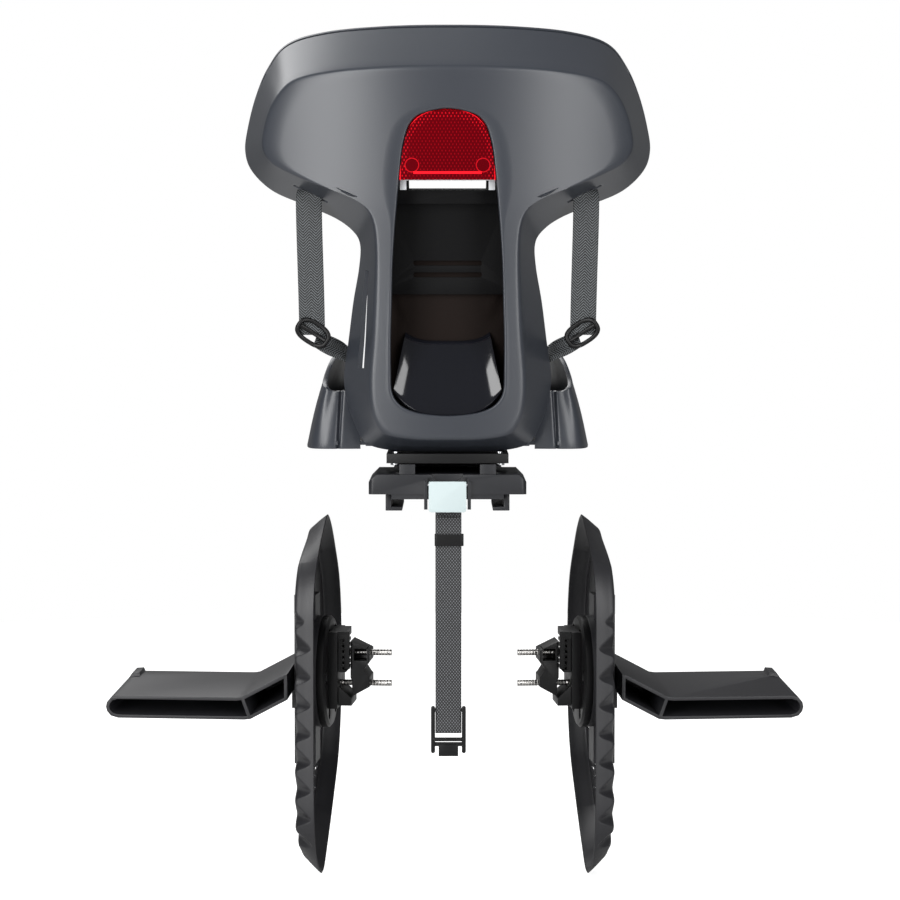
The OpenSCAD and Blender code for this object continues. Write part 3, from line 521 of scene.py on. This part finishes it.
class SEAT_OT_shell(bpy.types.Operator):
    """Back shell with wings, its strap slots and slit"""

    bl_idname = "seat.shell"
    bl_label = "Back shell"

    def execute(self, context):
        """Surface S(j, i): spoke j is a Catmull-Rom blend of the control spokes; along it point i runs from the
        opening's lip over the face y = face_y(x, z), round the crease as a quadratic curve, and up the wall to
        the rim. The inner skin is S + 4 mm of its normal."""
        size = context.scene.seat_sizes
        crease, lip_groove = size.crease / MM, size.lip_groove / MM
        rows = smooth_through(both_halves(SPOKES, [0, 2, 4]), size.fineness, True)
        ox, oz, cx, cz, rx, rz, reach = rows.T
        o = np.stack([ox, face_y(ox, oz), oz], -1)
        c = np.stack([cx, face_y(cx, cz), cz], -1)
        r = np.stack([rx, face_y(cx, cz) + reach, rz], -1)
        q = unit(np.stack([cx - ox, 0 * cx, cz - oz], -1))
        up_wall = unit(r - c)
        a = c + unit(o - c) * crease
        b = c + up_wall * crease
        back = np.array([0, 1.0, 0])
        run = [o + 9 * back, o + 5 * back, o + 1.6 * back, o + 0.47 * (q + back), o + 1.6 * q]
        for t in (0.12, 0.3, 0.5, 0.7, 0.87, 1.0):
            p = o + 1.6 * q + (a - o - 1.6 * q) * t
            p[:, 1] = face_y(p[:, 0], p[:, 2])
            run.append(p)
        for t in np.linspace(0, 1, 8)[1:]:
            run.append((1 - t) ** 2 * a + 2 * t * (1 - t) * c + t**2 * b)
        wall = [(t, 0.0) for t in (0.14, 0.28, 0.42, 0.56, 0.7, 0.8, 0.88, 0.921)]
        wall += [(0.927, 1.0), (0.956, 1.0), (0.962, 0.0)]
        wall += [(t, 0.0) for t in (0.972, 0.984, 0.994)]
        groove = np.clip((rz - 425) / 30, 0, 1)[:, None] * lip_groove
        across = unit(np.cross(unit(np.roll(r, -1, 0) - np.roll(r, 1, 0)), up_wall))
        inwards = across * np.sign(np.sum(across * (np.array([0, -60, 260]) - c), -1, keepdims=True))
        for t, deep in wall:
            run.append(b + (r - b) * t + inwards * groove * deep)
        outer = np.stack(run, 1)
        normal = grid_normals(outer)
        heart = np.array([0, 60, 270])
        normal *= np.sign(np.sum(normal * (heart - outer), -1).mean())
        inner = outer + WALL * normal
        inner[:, :2] = outer[:, :2] + WALL * q[:, None]
        rim = r[:, None] + up_wall[:, None] * 1.0 + normal[:, -1:] * np.array([0.6, 3.4])[None, :, None]
        rings = np.concatenate([outer, rim, inner[:, ::-1]], 1)
        shell = make_piece("back_shell", *closed_loft(rings, "join"))
        outward(shell)
        for side in (-1, 1):
            slot = block((31, 6, 30), (141 * side, -76, 309), (0, 23 * side, 0), 2.4)
            cut(shell, make_piece("slot_cutter", *slot))
        slit = make_piece("slit_cutter", *block((30, 13, 99), (-88.5, -91, 182), (0, -4.9, 0), 6.4))
        cut(shell, slit)
        finish_piece(shell, FINISH["shell"], "seat", ["seat_shell"], sharp_deg=60)
        return {"FINISHED"}


def block(size, centre, turn_deg, corner):
    """A box with its edges along Y rounded by corner, turned and then moved, in mm."""
    w, d, h = size
    k = np.linspace(0, math.pi / 2, 7)
    quarter = np.stack([np.cos(k), np.sin(k)], -1) * corner
    loop = []
    for i, (sx, sz) in enumerate(((1, 1), (-1, 1), (-1, -1), (1, -1))):
        turn = i * math.pi / 2
        rot = np.array([[math.cos(turn), -math.sin(turn)], [math.sin(turn), math.cos(turn)]])
        loop.append(quarter @ rot.T + [sx * (w / 2 - corner), sz * (h / 2 - corner)])
    loop = np.vstack(loop)
    rings = np.stack([np.stack([loop[:, 0], np.full(len(loop), y), loop[:, 1]], -1) for y in (-d / 2, d / 2)])
    rot = np.array(Euler([math.radians(v) for v in turn_deg]).to_matrix())
    return closed_loft(rings @ rot.T + np.asarray(centre, float))


def bowed(foot, top, inwards, k):
    """The tub's wall at share k of its height: straight from foot to top, bowed outwards by 1.6 mm sin(pi k)."""
    return foot + (top - foot) * k - inwards * 1.6 * math.sin(math.pi * k)


def prism(outline, low, high):
    """Stations of a straight prism: an outline of (x, y) points at two heights."""
    return np.array([[(x, y, z) for x, y in outline] for z in (low, high)])


class SEAT_OT_base(bpy.types.Operator):
    """Seat base: the tub's wall with its beaded top edge, and its floor"""

    bl_idname = "seat.base"
    bl_label = "Seat base"

    def execute(self, context):
        """Wall W(j, i): station j blends the control stations; each ring climbs from the foot to the top, where
        it thickens into a round bead, and comes down 4 mm inside. The floor is the foot's outline as a slab."""
        rows = smooth_through(BASE_STATIONS, context.scene.seat_sizes.fineness, False)
        rows = np.vstack([rows, rows[-2::-1] * [-1, 1, -1, 1, 1]])
        foot = np.stack([rows[:, 0], rows[:, 1], np.full(len(rows), 48.0)], -1)
        top = rows[:, 2:5]
        ahead = np.clip(np.arange(len(rows)) + 9, 0, len(rows) - 1)
        behind = np.clip(np.arange(len(rows)) - 9, 0, len(rows) - 1)
        t = foot[ahead] - foot[behind]
        q = unit(np.stack([-t[:, 1], t[:, 0], 0 * t[:, 0]], -1))
        up = unit(top - foot)
        climb = (0.02, 0.15, 0.3, 0.45, 0.6, 0.75, 0.88, 0.95)
        run = [foot + q * 0.5] + [bowed(foot, top, q, k) for k in climb]
        bead = [(-0.6, -1.5), (-0.4, 0.2), (2, 1.0), (4.4, 0.2), (4.6, -1.5)]
        run += [top + q * inside + up * above for inside, above in bead]
        run += [bowed(foot, top, q, k) + q * 4 for k in (0.95, 0.75, 0.5, 0.25, 0.02)] + [foot + q * 3.5]
        wall = closed_loft(np.stack(run, 1))
        drawn_in = np.where(foot[:, 1] > 100, foot[:, 1] - 2, foot[:, 1] + 1)
        ring = np.stack([foot[:, 0] * 0.983, drawn_in, foot[:, 2]], -1)
        slab = closed_loft(np.stack([ring + [0, 0, 4], ring + [0, 0, 8]]))
        tongue = closed_loft(prism([(-84, -68), (84, -68), (84, -44), (-84, -44)], 52.0, 56.0))
        base = make_piece("seat_tub", *join_parts([wall, slab, tongue]))
        outward(base)
        finish_piece(base, FINISH["shell"], "seat", ["seat_base"], sharp_deg=42)
        return {"FINISHED"}


class SEAT_OT_opening(bpy.types.Operator):
    """Polished panel at the foot of the back's opening"""

    bl_idname = "seat.opening"
    bl_label = "Gloss panel"

    def execute(self, context):
        """Panel P(s, t): a straight line in t from its lower edge to its upper edge, whose middle is flat.
        Its sides turn 11 degrees within 6 mm at |s| = 0.52, its lower and upper edges roll inwards, and a 2.6 mm
        skin closes it."""
        s, t = np.meshgrid(np.linspace(-1, 1, 121), np.sin(np.linspace(0, math.pi / 2, 33)) ** 2, indexing="ij")
        bend = np.abs(s) - 0.52
        side = 0.6 * (np.sqrt(bend**2 + 0.0045) + bend) / 2
        low = np.stack([55 * s, -105.4 + 17 * side, 83.5 + 25 * np.abs(s) ** 3.2], -1)
        high = np.stack([43 * s, -70 + 13.5 * side, 160 + 9 * s**4], -1)
        front = low + (high - low) * t[..., None]
        front[..., 1] += -2 * np.sin(math.pi * t) + 2.5 * np.exp(-t / 0.02) + 3 * np.exp((t - 1) / 0.02)
        skin = np.concatenate([front, (front + [0, 2.6, 0])[:, ::-1]], 1)
        panel = make_piece("gloss_panel", *closed_loft(skin))
        outward(panel)
        finish_piece(panel, FINISH["gloss"], "seat", ["lower_cowl"], sharp_deg=50)
        return {"FINISHED"}


def mirrored(points, side):
    """Points as they are on the right, mirrored in X on the left."""
    return np.asarray(points, float) * ((1, 1, 1) if side == "right" else (-1, 1, 1))


class SEAT_OT_straps(bpy.types.Operator):
    """Harness webbing, tether webbing and the sliders"""

    bl_idname = "seat.straps"
    bl_label = "Webbing"

    def execute(self, context):
        """Each strap is a ribbon carried along a spline; each slider is an oval ring with a bar across."""
        for side in ("right", "left"):
            shoulder = [(139, -62, 166), (139.5, -69, 210), (141, -77, 280), (141, -76, 309), (138, -68, 324),
                        (122, -52, 326), (98, -34, 318), (78, -26, 296), (66, -27, 256),
                        (48, -18, 200), (32, -4, 168), (21, 18, 145)]
            wide = [(1, 0, 0), (1, 0, 0), (1, 0, 0.1), (1, 0, -0.4), (0.6, 0.6, -0.5), (0.2, 1, 0.2), (0.2, 1, 0.5),
                    (0.8, 0.5, 0.4), (1, 0.2, 0.3), (1, 0.1, 0.3), (1, 0, 0.4), (1, 0, 0.4)]
            hip = [(135, -61, 163), (124, -56, 156), (106, -46, 147), (92, -34, 132), (82, -10, 110), (64, 14, 108),
                   (42, 26, 124), (27, 24, 139)]
            hip_wide = [(0.55, 0, 0.8), (0.5, 0, 0.8), (0.45, 0.1, 0.85), (0.2, 0.4, 0.9), (0.3, 0.2, 0.9),
                        (0.4, 0.3, 0.8),
                        (0.7, 0.2, 0.6), (0.9, 0.1, 0.4)]
            for name, path, across, width in (("shoulder", shoulder, wide, WIDE_STRAP),
                                              ("hip", hip, hip_wide, HIP_STRAP)):
                run = (mirrored(path, side), mirrored(across, side), width, STRAP_THICK)
                strap_piece(f"{name}_webbing_{side}", [run], FINISH["chevron"], f"{name}_strap_{side}")
            a = np.linspace(0, 2 * math.pi, 72, endpoint=False)[:, None]
            b = np.linspace(0, 2 * math.pi, 14, endpoint=False)[None, :]
            round_x = np.sign(np.cos(a)) * np.abs(np.cos(a)) ** 0.75
            round_z = np.sign(np.sin(a)) * np.abs(np.sin(a)) ** 0.75
            ring_y = 2.3 * np.sin(b) - 3.2 * np.cos(a) ** 2 + 1.5
            ring = np.stack([round_x * (16.6 + 2.4 * np.cos(b)), ring_y, round_z * (10.2 + 2.3 * np.cos(b))], -1)
            bar_x = np.linspace(-16.4, 16.4, 12)[:, None]
            bar_y = 1.6 * np.sin(b) - 3.2 * (bar_x / 16.6) ** 2 + 1.5
            bar = np.stack(np.broadcast_arrays(bar_x, bar_y, 2.2 * np.cos(b)), -1)
            turn = math.radians(-33)
            rot = np.array([[math.cos(turn), 0, math.sin(turn)], [0, 1, 0], [-math.sin(turn), 0, math.cos(turn)]])
            points, faces = join_parts([closed_loft(ring, "join"), closed_loft(bar)])
            slider = make_piece(f"slider_ring_{side}", mirrored(points @ rot.T + [138, -66.5, 168], side), faces)
            outward(slider)
            finish_piece(slider, FINISH["nylon"], "seat", [f"slider_{side}"], sharp_deg=50)
        flat = [(1, 0, 0)] * 6
        down = [(0.9, -91.6, 4.4), (0.9, -91.8, -6), (0.9, -94, -24), (0.9, -94.4, -120), (0.9, -94, -222),
                (0.9, -93, -240)]
        back = [(0.9, -97.3, -19), (0.9, -97, -60), (0.9, -97.2, -140), (0.9, -97, -215), (0.9, -98.5, -232),
                (0.9, -98.5, -238)]
        runs = [(path, flat, WIDE_STRAP, STRAP_THICK) for path in (down, back)]
        strap_piece("tether_webbing", runs, FINISH["basket"], "tether_strap")
        crotch = [(0, 54, 57.5), (0, 54, 68), (0, 50, 76), (0, 45.5, 82), (0, 40, 95.5)]
        strap_piece("crotch_webbing", [(crotch, flat[:5], WIDE_STRAP, STRAP_THICK)], FINISH["chevron"], "crotch_strap")
        return {"FINISHED"}


def guard_skin(loop, inward, move, depth):
    """One skin of a guard's rim: outline points moved inwards by move, at the given depths."""
    points = loop[:, None] + inward[:, None] * move[..., None]
    return np.concatenate([np.broadcast_to(depth, move.shape)[..., None], points], -1)


class SEAT_OT_guards(bpy.types.Operator):
    """Leg guards: dish with scooped rear edge, perforated plate, pivot boss and foot rest track"""

    bl_idname = "seat.guards"
    bl_label = "Leg guards"

    def execute(self, context):
        """Rim R(j, k): outline point j moved inwards by inset(k) at depth x(k). Along the rear edge a chamfer cuts
        the outer corner: it starts reach(j) from the outer face, a sine of the height with a 30 mm period, and
        goes inwards 0.75 mm for each mm nearer the face, so its edge draws an S. At the foot and the tip the
        wall leans inwards. The plate is the outline with round-ended slots left open."""
        loop = smooth_through(GUARD_OUTLINE, 60, True)
        gap = np.linalg.norm(np.roll(loop, -1, 0) - loop, axis=1)
        along = np.concatenate([[0], np.cumsum(gap)])
        want = np.linspace(0, along[-1], 901)[:-1]
        loop = np.stack([np.interp(want, along, np.append(loop[:, i], loop[0, i])) for i in (0, 1)], -1)
        t = unit(np.roll(loop, -5, 0) - np.roll(loop, 5, 0))
        inward = np.stack([-t[:, 1], t[:, 0]], -1)
        y, z = loop.T
        x, inset = smooth_through([(FREE_EDGE, 0), (5, 0.6), (12, 2.0), (17.5, 3.6), (OUTER_FACE, 8)], 8, False).T
        fade = np.clip((80 - z) / 25, 0, 1) * np.clip((40 - y) / 30, 0, 1) * np.clip((z + 196) / 12, 0, 1)
        phase = 2 * math.pi * z / 30
        reach = fade * (9.5 + 8.5 * np.sin(phase + 0.4 * np.sin(phase)))
        lean = 16 * np.clip((-160 - z) / 40, 0, 1) + 14 * np.clip((z - 125) / 35, 0, 1)
        scoop = 0.75 * np.maximum(0, reach[:, None] - (OUTER_FACE - x)[None])
        scoop = scoop + lean[:, None] * ((x - FREE_EDGE) / (OUTER_FACE - FREE_EDGE))[None]
        taper = np.clip((x - 17.5) / 1.9, 0, 1)
        outer = guard_skin(loop, inward, inset + scoop, x)
        inner = guard_skin(loop, inward, inset + scoop + 2.6 * (1 - taper), x - 2.6 * taper)
        lip = (outer[:, :1] + inner[:, :1]) / 2 - [0.7, 0, 0]
        rim = closed_loft(np.concatenate([lip, outer, inner[:, ::-1]], 1), "join")
        edge = outer[:, -1, 1:] - inward * 0.6
        boss = revolve([(0, 40.1), (0, 59), (0.8, 59.8), (17, 59.8), (17, 56), (3, 56), (3, 40.1)])
        lips = [(6.5, -17), (29.5, -17), (29.5, -6), (26, -6), (26, -12), (8.3, -12),
                (8.3, 12), (26, 12), (26, 6), (29.5, 6), (29.5, 17), (6.5, 17)]
        track = closed_loft(prism(lips, TRACK_FOOT, TRACK_TOP))
        stop = [(8.3, -12), (26, -12), (26, 12), (8.3, 12)]
        ends = [closed_loft(prism(stop, low, low + 5)) for low in (TRACK_FOOT, TRACK_TOP - 5)]
        heart = np.array([15, -20])
        spread = np.linalg.norm(edge - heart, axis=1)
        bearing = np.arctan2(edge[:, 1] - heart[1], edge[:, 0] - heart[0])
        order = np.argsort(bearing)
        rows, cols = np.meshgrid(np.arange(20), np.arange(5), indexing="ij")
        spots = np.stack([-58 + cols * 34 + rows % 2 * 17, -71.3 - rows * 6.6], -1).reshape(-1, 2)
        tips = spots[:, None] + np.array([[-10.6, 0], [10.6, 0]]) - heart
        limit = np.interp(np.arctan2(tips[..., 1], tips[..., 0]), bearing[order], spread[order])
        room = limit - np.linalg.norm(tips, axis=-1)
        slots = spots[(room > 5).all(1)]
        for side in ("right", "left"):
            plate = slotted_plate(f"guard_plate_{side}", edge, slots, 17.1, 2.1)
            points, faces = join_parts([rim, boss, track, *ends])
            guard = make_piece(f"guard_{side}", points, faces)
            for part in (guard, plate):
                co = np.empty(len(part.data.vertices) * 3)
                part.data.vertices.foreach_get("co", co)
                part.data.vertices.foreach_set("co", (guard_place(co.reshape(-1, 3) / MM, side) * MM).ravel())
                outward(part)
                finish_piece(part, FINISH["guard"], f"guard_{side}", [f"leg_guard_{side}"], sharp_deg=40)
        return {"FINISHED"}


def slotted_plate(name, outline, slots, x, thick):
    """A flat plate in the Y-Z plane from x to x + thick, in mm, filled between outline and slots."""
    curve = bpy.data.curves.new(name, "CURVE")
    curve.dimensions, curve.fill_mode, curve.extrude = "2D", "BOTH", thick * MM / 2
    k = np.linspace(-math.pi / 2, math.pi / 2, 7)
    end = np.stack([8.5 + 2.1 * np.cos(k), 2.1 * np.sin(k)], -1)
    hole = np.vstack([end, -end])
    for loop in [np.asarray(outline)] + [hole + place for place in slots]:
        spline = curve.splines.new("POLY")
        spline.use_cyclic_u = True
        spline.points.add(len(loop) - 1)
        flat = np.zeros((len(loop), 4))
        flat[:, :2], flat[:, 3] = loop * MM, 1
        spline.points.foreach_set("co", flat.ravel())
    ghost = bpy.data.objects.new(name + "_curve", curve)
    bpy.context.scene.collection.objects.link(ghost)
    mesh = bpy.data.meshes.new_from_object(ghost.evaluated_get(bpy.context.evaluated_depsgraph_get()))
    bpy.data.objects.remove(ghost)
    co = np.empty(len(mesh.vertices) * 3)
    mesh.vertices.foreach_get("co", co)
    co = co.reshape(-1, 3)
    mesh.vertices.foreach_set("co", np.stack([co[:, 2] + (x + thick / 2) * MM, co[:, 0], co[:, 1]], -1).ravel())
    plate = bpy.data.objects.new(name, mesh)
    bpy.context.scene.collection.objects.link(plate)
    return plate


class SEAT_OT_cushions(bpy.types.Operator):
    """Seat and back cushions and the shoulder pads, blown up from their CAD bodies as cloth"""

    bl_idname = "seat.cushions"
    bl_label = "Cushions"

    def execute(self, context):
        """Each row: node, finish, how far the cloth may move and the voxel size in mm, and the fill."""
        rows = (("seat_cushion", "foam", 5, 5, 0.7), ("back_cushion", "foam", 4, 5, 0.7),
                ("shoulder_pad_left", "pad", 2.0, 3, 0.5), ("shoulder_pad_right", "pad", 2.0, 3, 0.5))
        for node, finish, cap, voxel, fill in rows:
            puffed(node, FINISH[finish], cap, voxel)
        return {"FINISHED"}


def puffed(node, material, cap_mm, voxel_mm):
    """A padded copy of a CAD body: drawn in a little, remeshed, swollen as cloth under pressure, held to cap_mm."""
    source = frame["nodes"][node]
    pad = bpy.data.objects.new(node + "_cover", source.data.copy())
    bpy.context.scene.collection.objects.link(pad)
    outward(pad)
    remesh = pad.modifiers.new("remesh", "REMESH")
    remesh.mode, remesh.voxel_size = "VOXEL", voxel_mm * MM
    bake_modifiers(pad)
    mesh = pad.data
    n = len(mesh.vertices)
    rest, normal = np.empty(n * 3), np.empty(n * 3)
    mesh.vertices.foreach_get("co", rest)
    mesh.vertices.foreach_get("normal", normal)
    rest, normal = rest.reshape(-1, 3), normal.reshape(-1, 3)
    rest = rest - normal * 1.5 * MM
    mesh.vertices.foreach_set("co", rest.ravel())
    cloth = pad.modifiers.new("cloth", "CLOTH")
    cloth.settings.use_pressure = True
    cloth.settings.uniform_pressure_force = 4
    cloth.settings.effector_weights.gravity = 0
    for step in range(1, 21):
        bpy.context.scene.frame_set(step)
    bake_modifiers(pad)
    bpy.context.scene.frame_set(1)
    mesh = pad.data
    moved = np.empty(n * 3)
    mesh.vertices.foreach_get("co", moved)
    shift = moved.reshape(-1, 3) - rest
    length = np.linalg.norm(shift, axis=1, keepdims=True)
    shift *= np.minimum(1, cap_mm * MM / np.maximum(length, 1e-9))
    mesh.vertices.foreach_set("co", (rest + shift).ravel())
    smooth = pad.modifiers.new("smooth", "SUBSURF")
    smooth.levels = smooth.render_levels = 1
    finish_piece(pad, material, "seat", [node], sharp_deg=180)


class SEAT_OT_copies(bpy.types.Operator):
    """Moulded and metal pieces whose CAD form is the real one, with eased edges"""

    bl_idname = "seat.copies"
    bl_label = "Adapter, clamps and metal"

    def execute(self, context):
        edge = context.scene.seat_sizes.edge_round / MM
        plain = {
            "back_liner": ("inside", edge), "reflector_lens": ("lens", 0.7), "reflector_back": ("grey", 0.3),
            "reflector_screws": ("steel", 0.3), "buckle_body": ("nylon", edge), "buckle_button": ("button", edge),
            "tongue_left": ("steel", 0.3), "tongue_right": ("steel", 0.3), "seat_bracket": ("nylon", edge),
            "bracket_screws": ("steel", 0.4), "adapter_plate": ("adapter", edge), "rack_jaws": ("adapter", edge),
            "release_lever": ("lever", 0.5),
            "lever_pin": ("steel", 0.2), "latch_bolt": ("steel", 0.4), "strap_keeper": ("nylon", 0.5),
            "ladder_lock": ("nylon", 0.6),
        }
        for side in ("left", "right"):
            plain.update({f"guard_hub_{side}": ("nylon", 0.6), f"hub_ring_{side}": ("steel", 0.4),
                          f"stay_bracket_{side}": ("nylon", edge), f"v_block_{side}": ("nylon", edge),
                          f"clamp_bolts_{side}": ("thread", 0.3),
                          f"foot_rest_{side}": ("guard", 0.8), f"rest_knob_{side}": ("nylon", 0.3)})
        for node, (finish, rounding) in plain.items():
            eased_copy(node, rounding, FINISH[finish])
        return {"FINISHED"}


class SEAT_OT_studio(bpy.types.Operator):
    """Pale floor, soft boxes and the camera"""

    bl_idname = "seat.studio"
    bl_label = "Studio"

    def execute(self, context):
        scene = context.scene
        scene.view_settings.view_transform = "Standard"
        distance = scene.seat_sizes.camera_distance
        camera = bpy.data.objects.new("photo_camera", bpy.data.cameras.new("photo_camera"))
        scene.collection.objects.link(camera)
        camera.location = (0.0025, -0.13 - distance, 0.2)
        camera.rotation_euler = (math.radians(90 - 2.35), 0, 0)
        camera.data.sensor_fit = "HORIZONTAL"
        camera.data.angle = 2 * math.atan(0.45 / distance)
        camera.data.shift_y = -0.0508
        camera.data.clip_end = 50
        scene.camera = camera
        turn = np.linspace(0, 2 * math.pi, 96, endpoint=False)
        disc = np.stack([2300 * np.cos(turn), 2300 * np.sin(turn), np.full(96, -415.0)], -1)
        floor = make_piece("floor", disc, [tuple(range(96))])
        material = bpy.data.materials.new("pale_floor_sweep")
        material.use_nodes = True
        tree = material.node_tree
        tree.nodes.remove(tree.nodes["Principled BSDF"])
        ray = add_node(tree, "ShaderNodeLightPath")
        diffuse = add_node(tree, "ShaderNodeBsdfDiffuse", {"Color": linear("#C8C8C8")})
        glow = add_node(tree, "ShaderNodeEmission", {"Color": (1, 1, 1, 1), "Strength": 0.8})
        both = add_node(tree, "ShaderNodeAddShader")
        tree.links.new(diffuse.outputs[0], both.inputs[0])
        tree.links.new(glow.outputs[0], both.inputs[1])
        mix = add_node(tree, "ShaderNodeMixShader")
        tree.links.new(ray.outputs["Is Camera Ray"], mix.inputs[0])
        tree.links.new(diffuse.outputs[0], mix.inputs[1])
        tree.links.new(both.outputs[0], mix.inputs[2])
        tree.links.new(mix.outputs[0], tree.nodes["Material Output"].inputs["Surface"])
        floor.data.materials.append(material)
        world = bpy.data.worlds.new("studio_world")
        scene.world = world
        world.use_nodes = True
        tree = world.node_tree
        dim = tree.nodes["Background"]
        dim.inputs["Color"].default_value = (1, 1, 1, 1)
        dim.inputs["Strength"].default_value = 0.2
        white = add_node(tree, "ShaderNodeBackground", {"Color": (1, 1, 1, 1), "Strength": 1.0})
        ray = add_node(tree, "ShaderNodeLightPath")
        mix = add_node(tree, "ShaderNodeMixShader")
        tree.links.new(ray.outputs["Is Camera Ray"], mix.inputs[0])
        tree.links.new(dim.outputs[0], mix.inputs[1])
        tree.links.new(white.outputs[0], mix.inputs[2])
        tree.links.new(mix.outputs[0], tree.nodes["World Output"].inputs["Surface"])
        target = Vector((0, -0.05, 0.1))
        boxes = {
            "soft_box_left": ((-1.3, -2.15, 1.35), 0.95, 3.5, 96),
            "soft_box_right": ((1.3, -2.15, 1.35), 0.75, 3.5, 60),
            "soft_box_top": ((-0.3, -0.2, 2.4), 2.0, 1.4, 34), "soft_box_front": ((-1.0, 1.9, 2.1), 2.6, 1.6, 40),
        }
        for name, (place, wide, high, power) in boxes.items():
            data = bpy.data.lights.new(name, "AREA")
            data.shape, data.size, data.size_y, data.energy = "RECTANGLE", wide, high, power
            lamp = bpy.data.objects.new(name, data)
            lamp.location = place
            aim = Vector((target.x, target.y, place[2])) if high > 3 else target
            lamp.rotation_euler = (aim - Vector(place)).to_track_quat("-Z", "Y").to_euler()
            lamp.visible_glossy = name != "soft_box_top"
            scene.collection.objects.link(lamp)
        return {"FINISHED"}


class SEAT_PT_panel(bpy.types.Panel):
    """Buttons that build the seat"""

    bl_idname = "SEAT_PT_panel"
    bl_label = "Bike seat"
    bl_space_type = "VIEW_3D"
    bl_region_type = "UI"
    bl_category = "Bike seat"

    def draw(self, context):
        for operator in OPERATORS:
            self.layout.operator(operator.bl_idname)


OPERATORS = (SEAT_OT_shell, SEAT_OT_base, SEAT_OT_opening, SEAT_OT_straps,
             SEAT_OT_guards, SEAT_OT_cushions, SEAT_OT_copies, SEAT_OT_studio)
CLASSES = (SeatSizes, *OPERATORS, SEAT_PT_panel)


def register():
    for cls in CLASSES:
        bpy.utils.register_class(cls)
    bpy.types.Scene.seat_sizes = PointerProperty(type=SeatSizes)


def unregister():
    del bpy.types.Scene.seat_sizes
    for cls in reversed(CLASSES):
        bpy.utils.unregister_class(cls)


def main():
    """Registers the add-on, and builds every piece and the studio."""
    register()
    FINISH.update(make_materials())
    for operator in OPERATORS:
        group, name = operator.bl_idname.split(".")
        getattr(getattr(bpy.ops, group), name)()


if __name__ == "__main__":
    main()
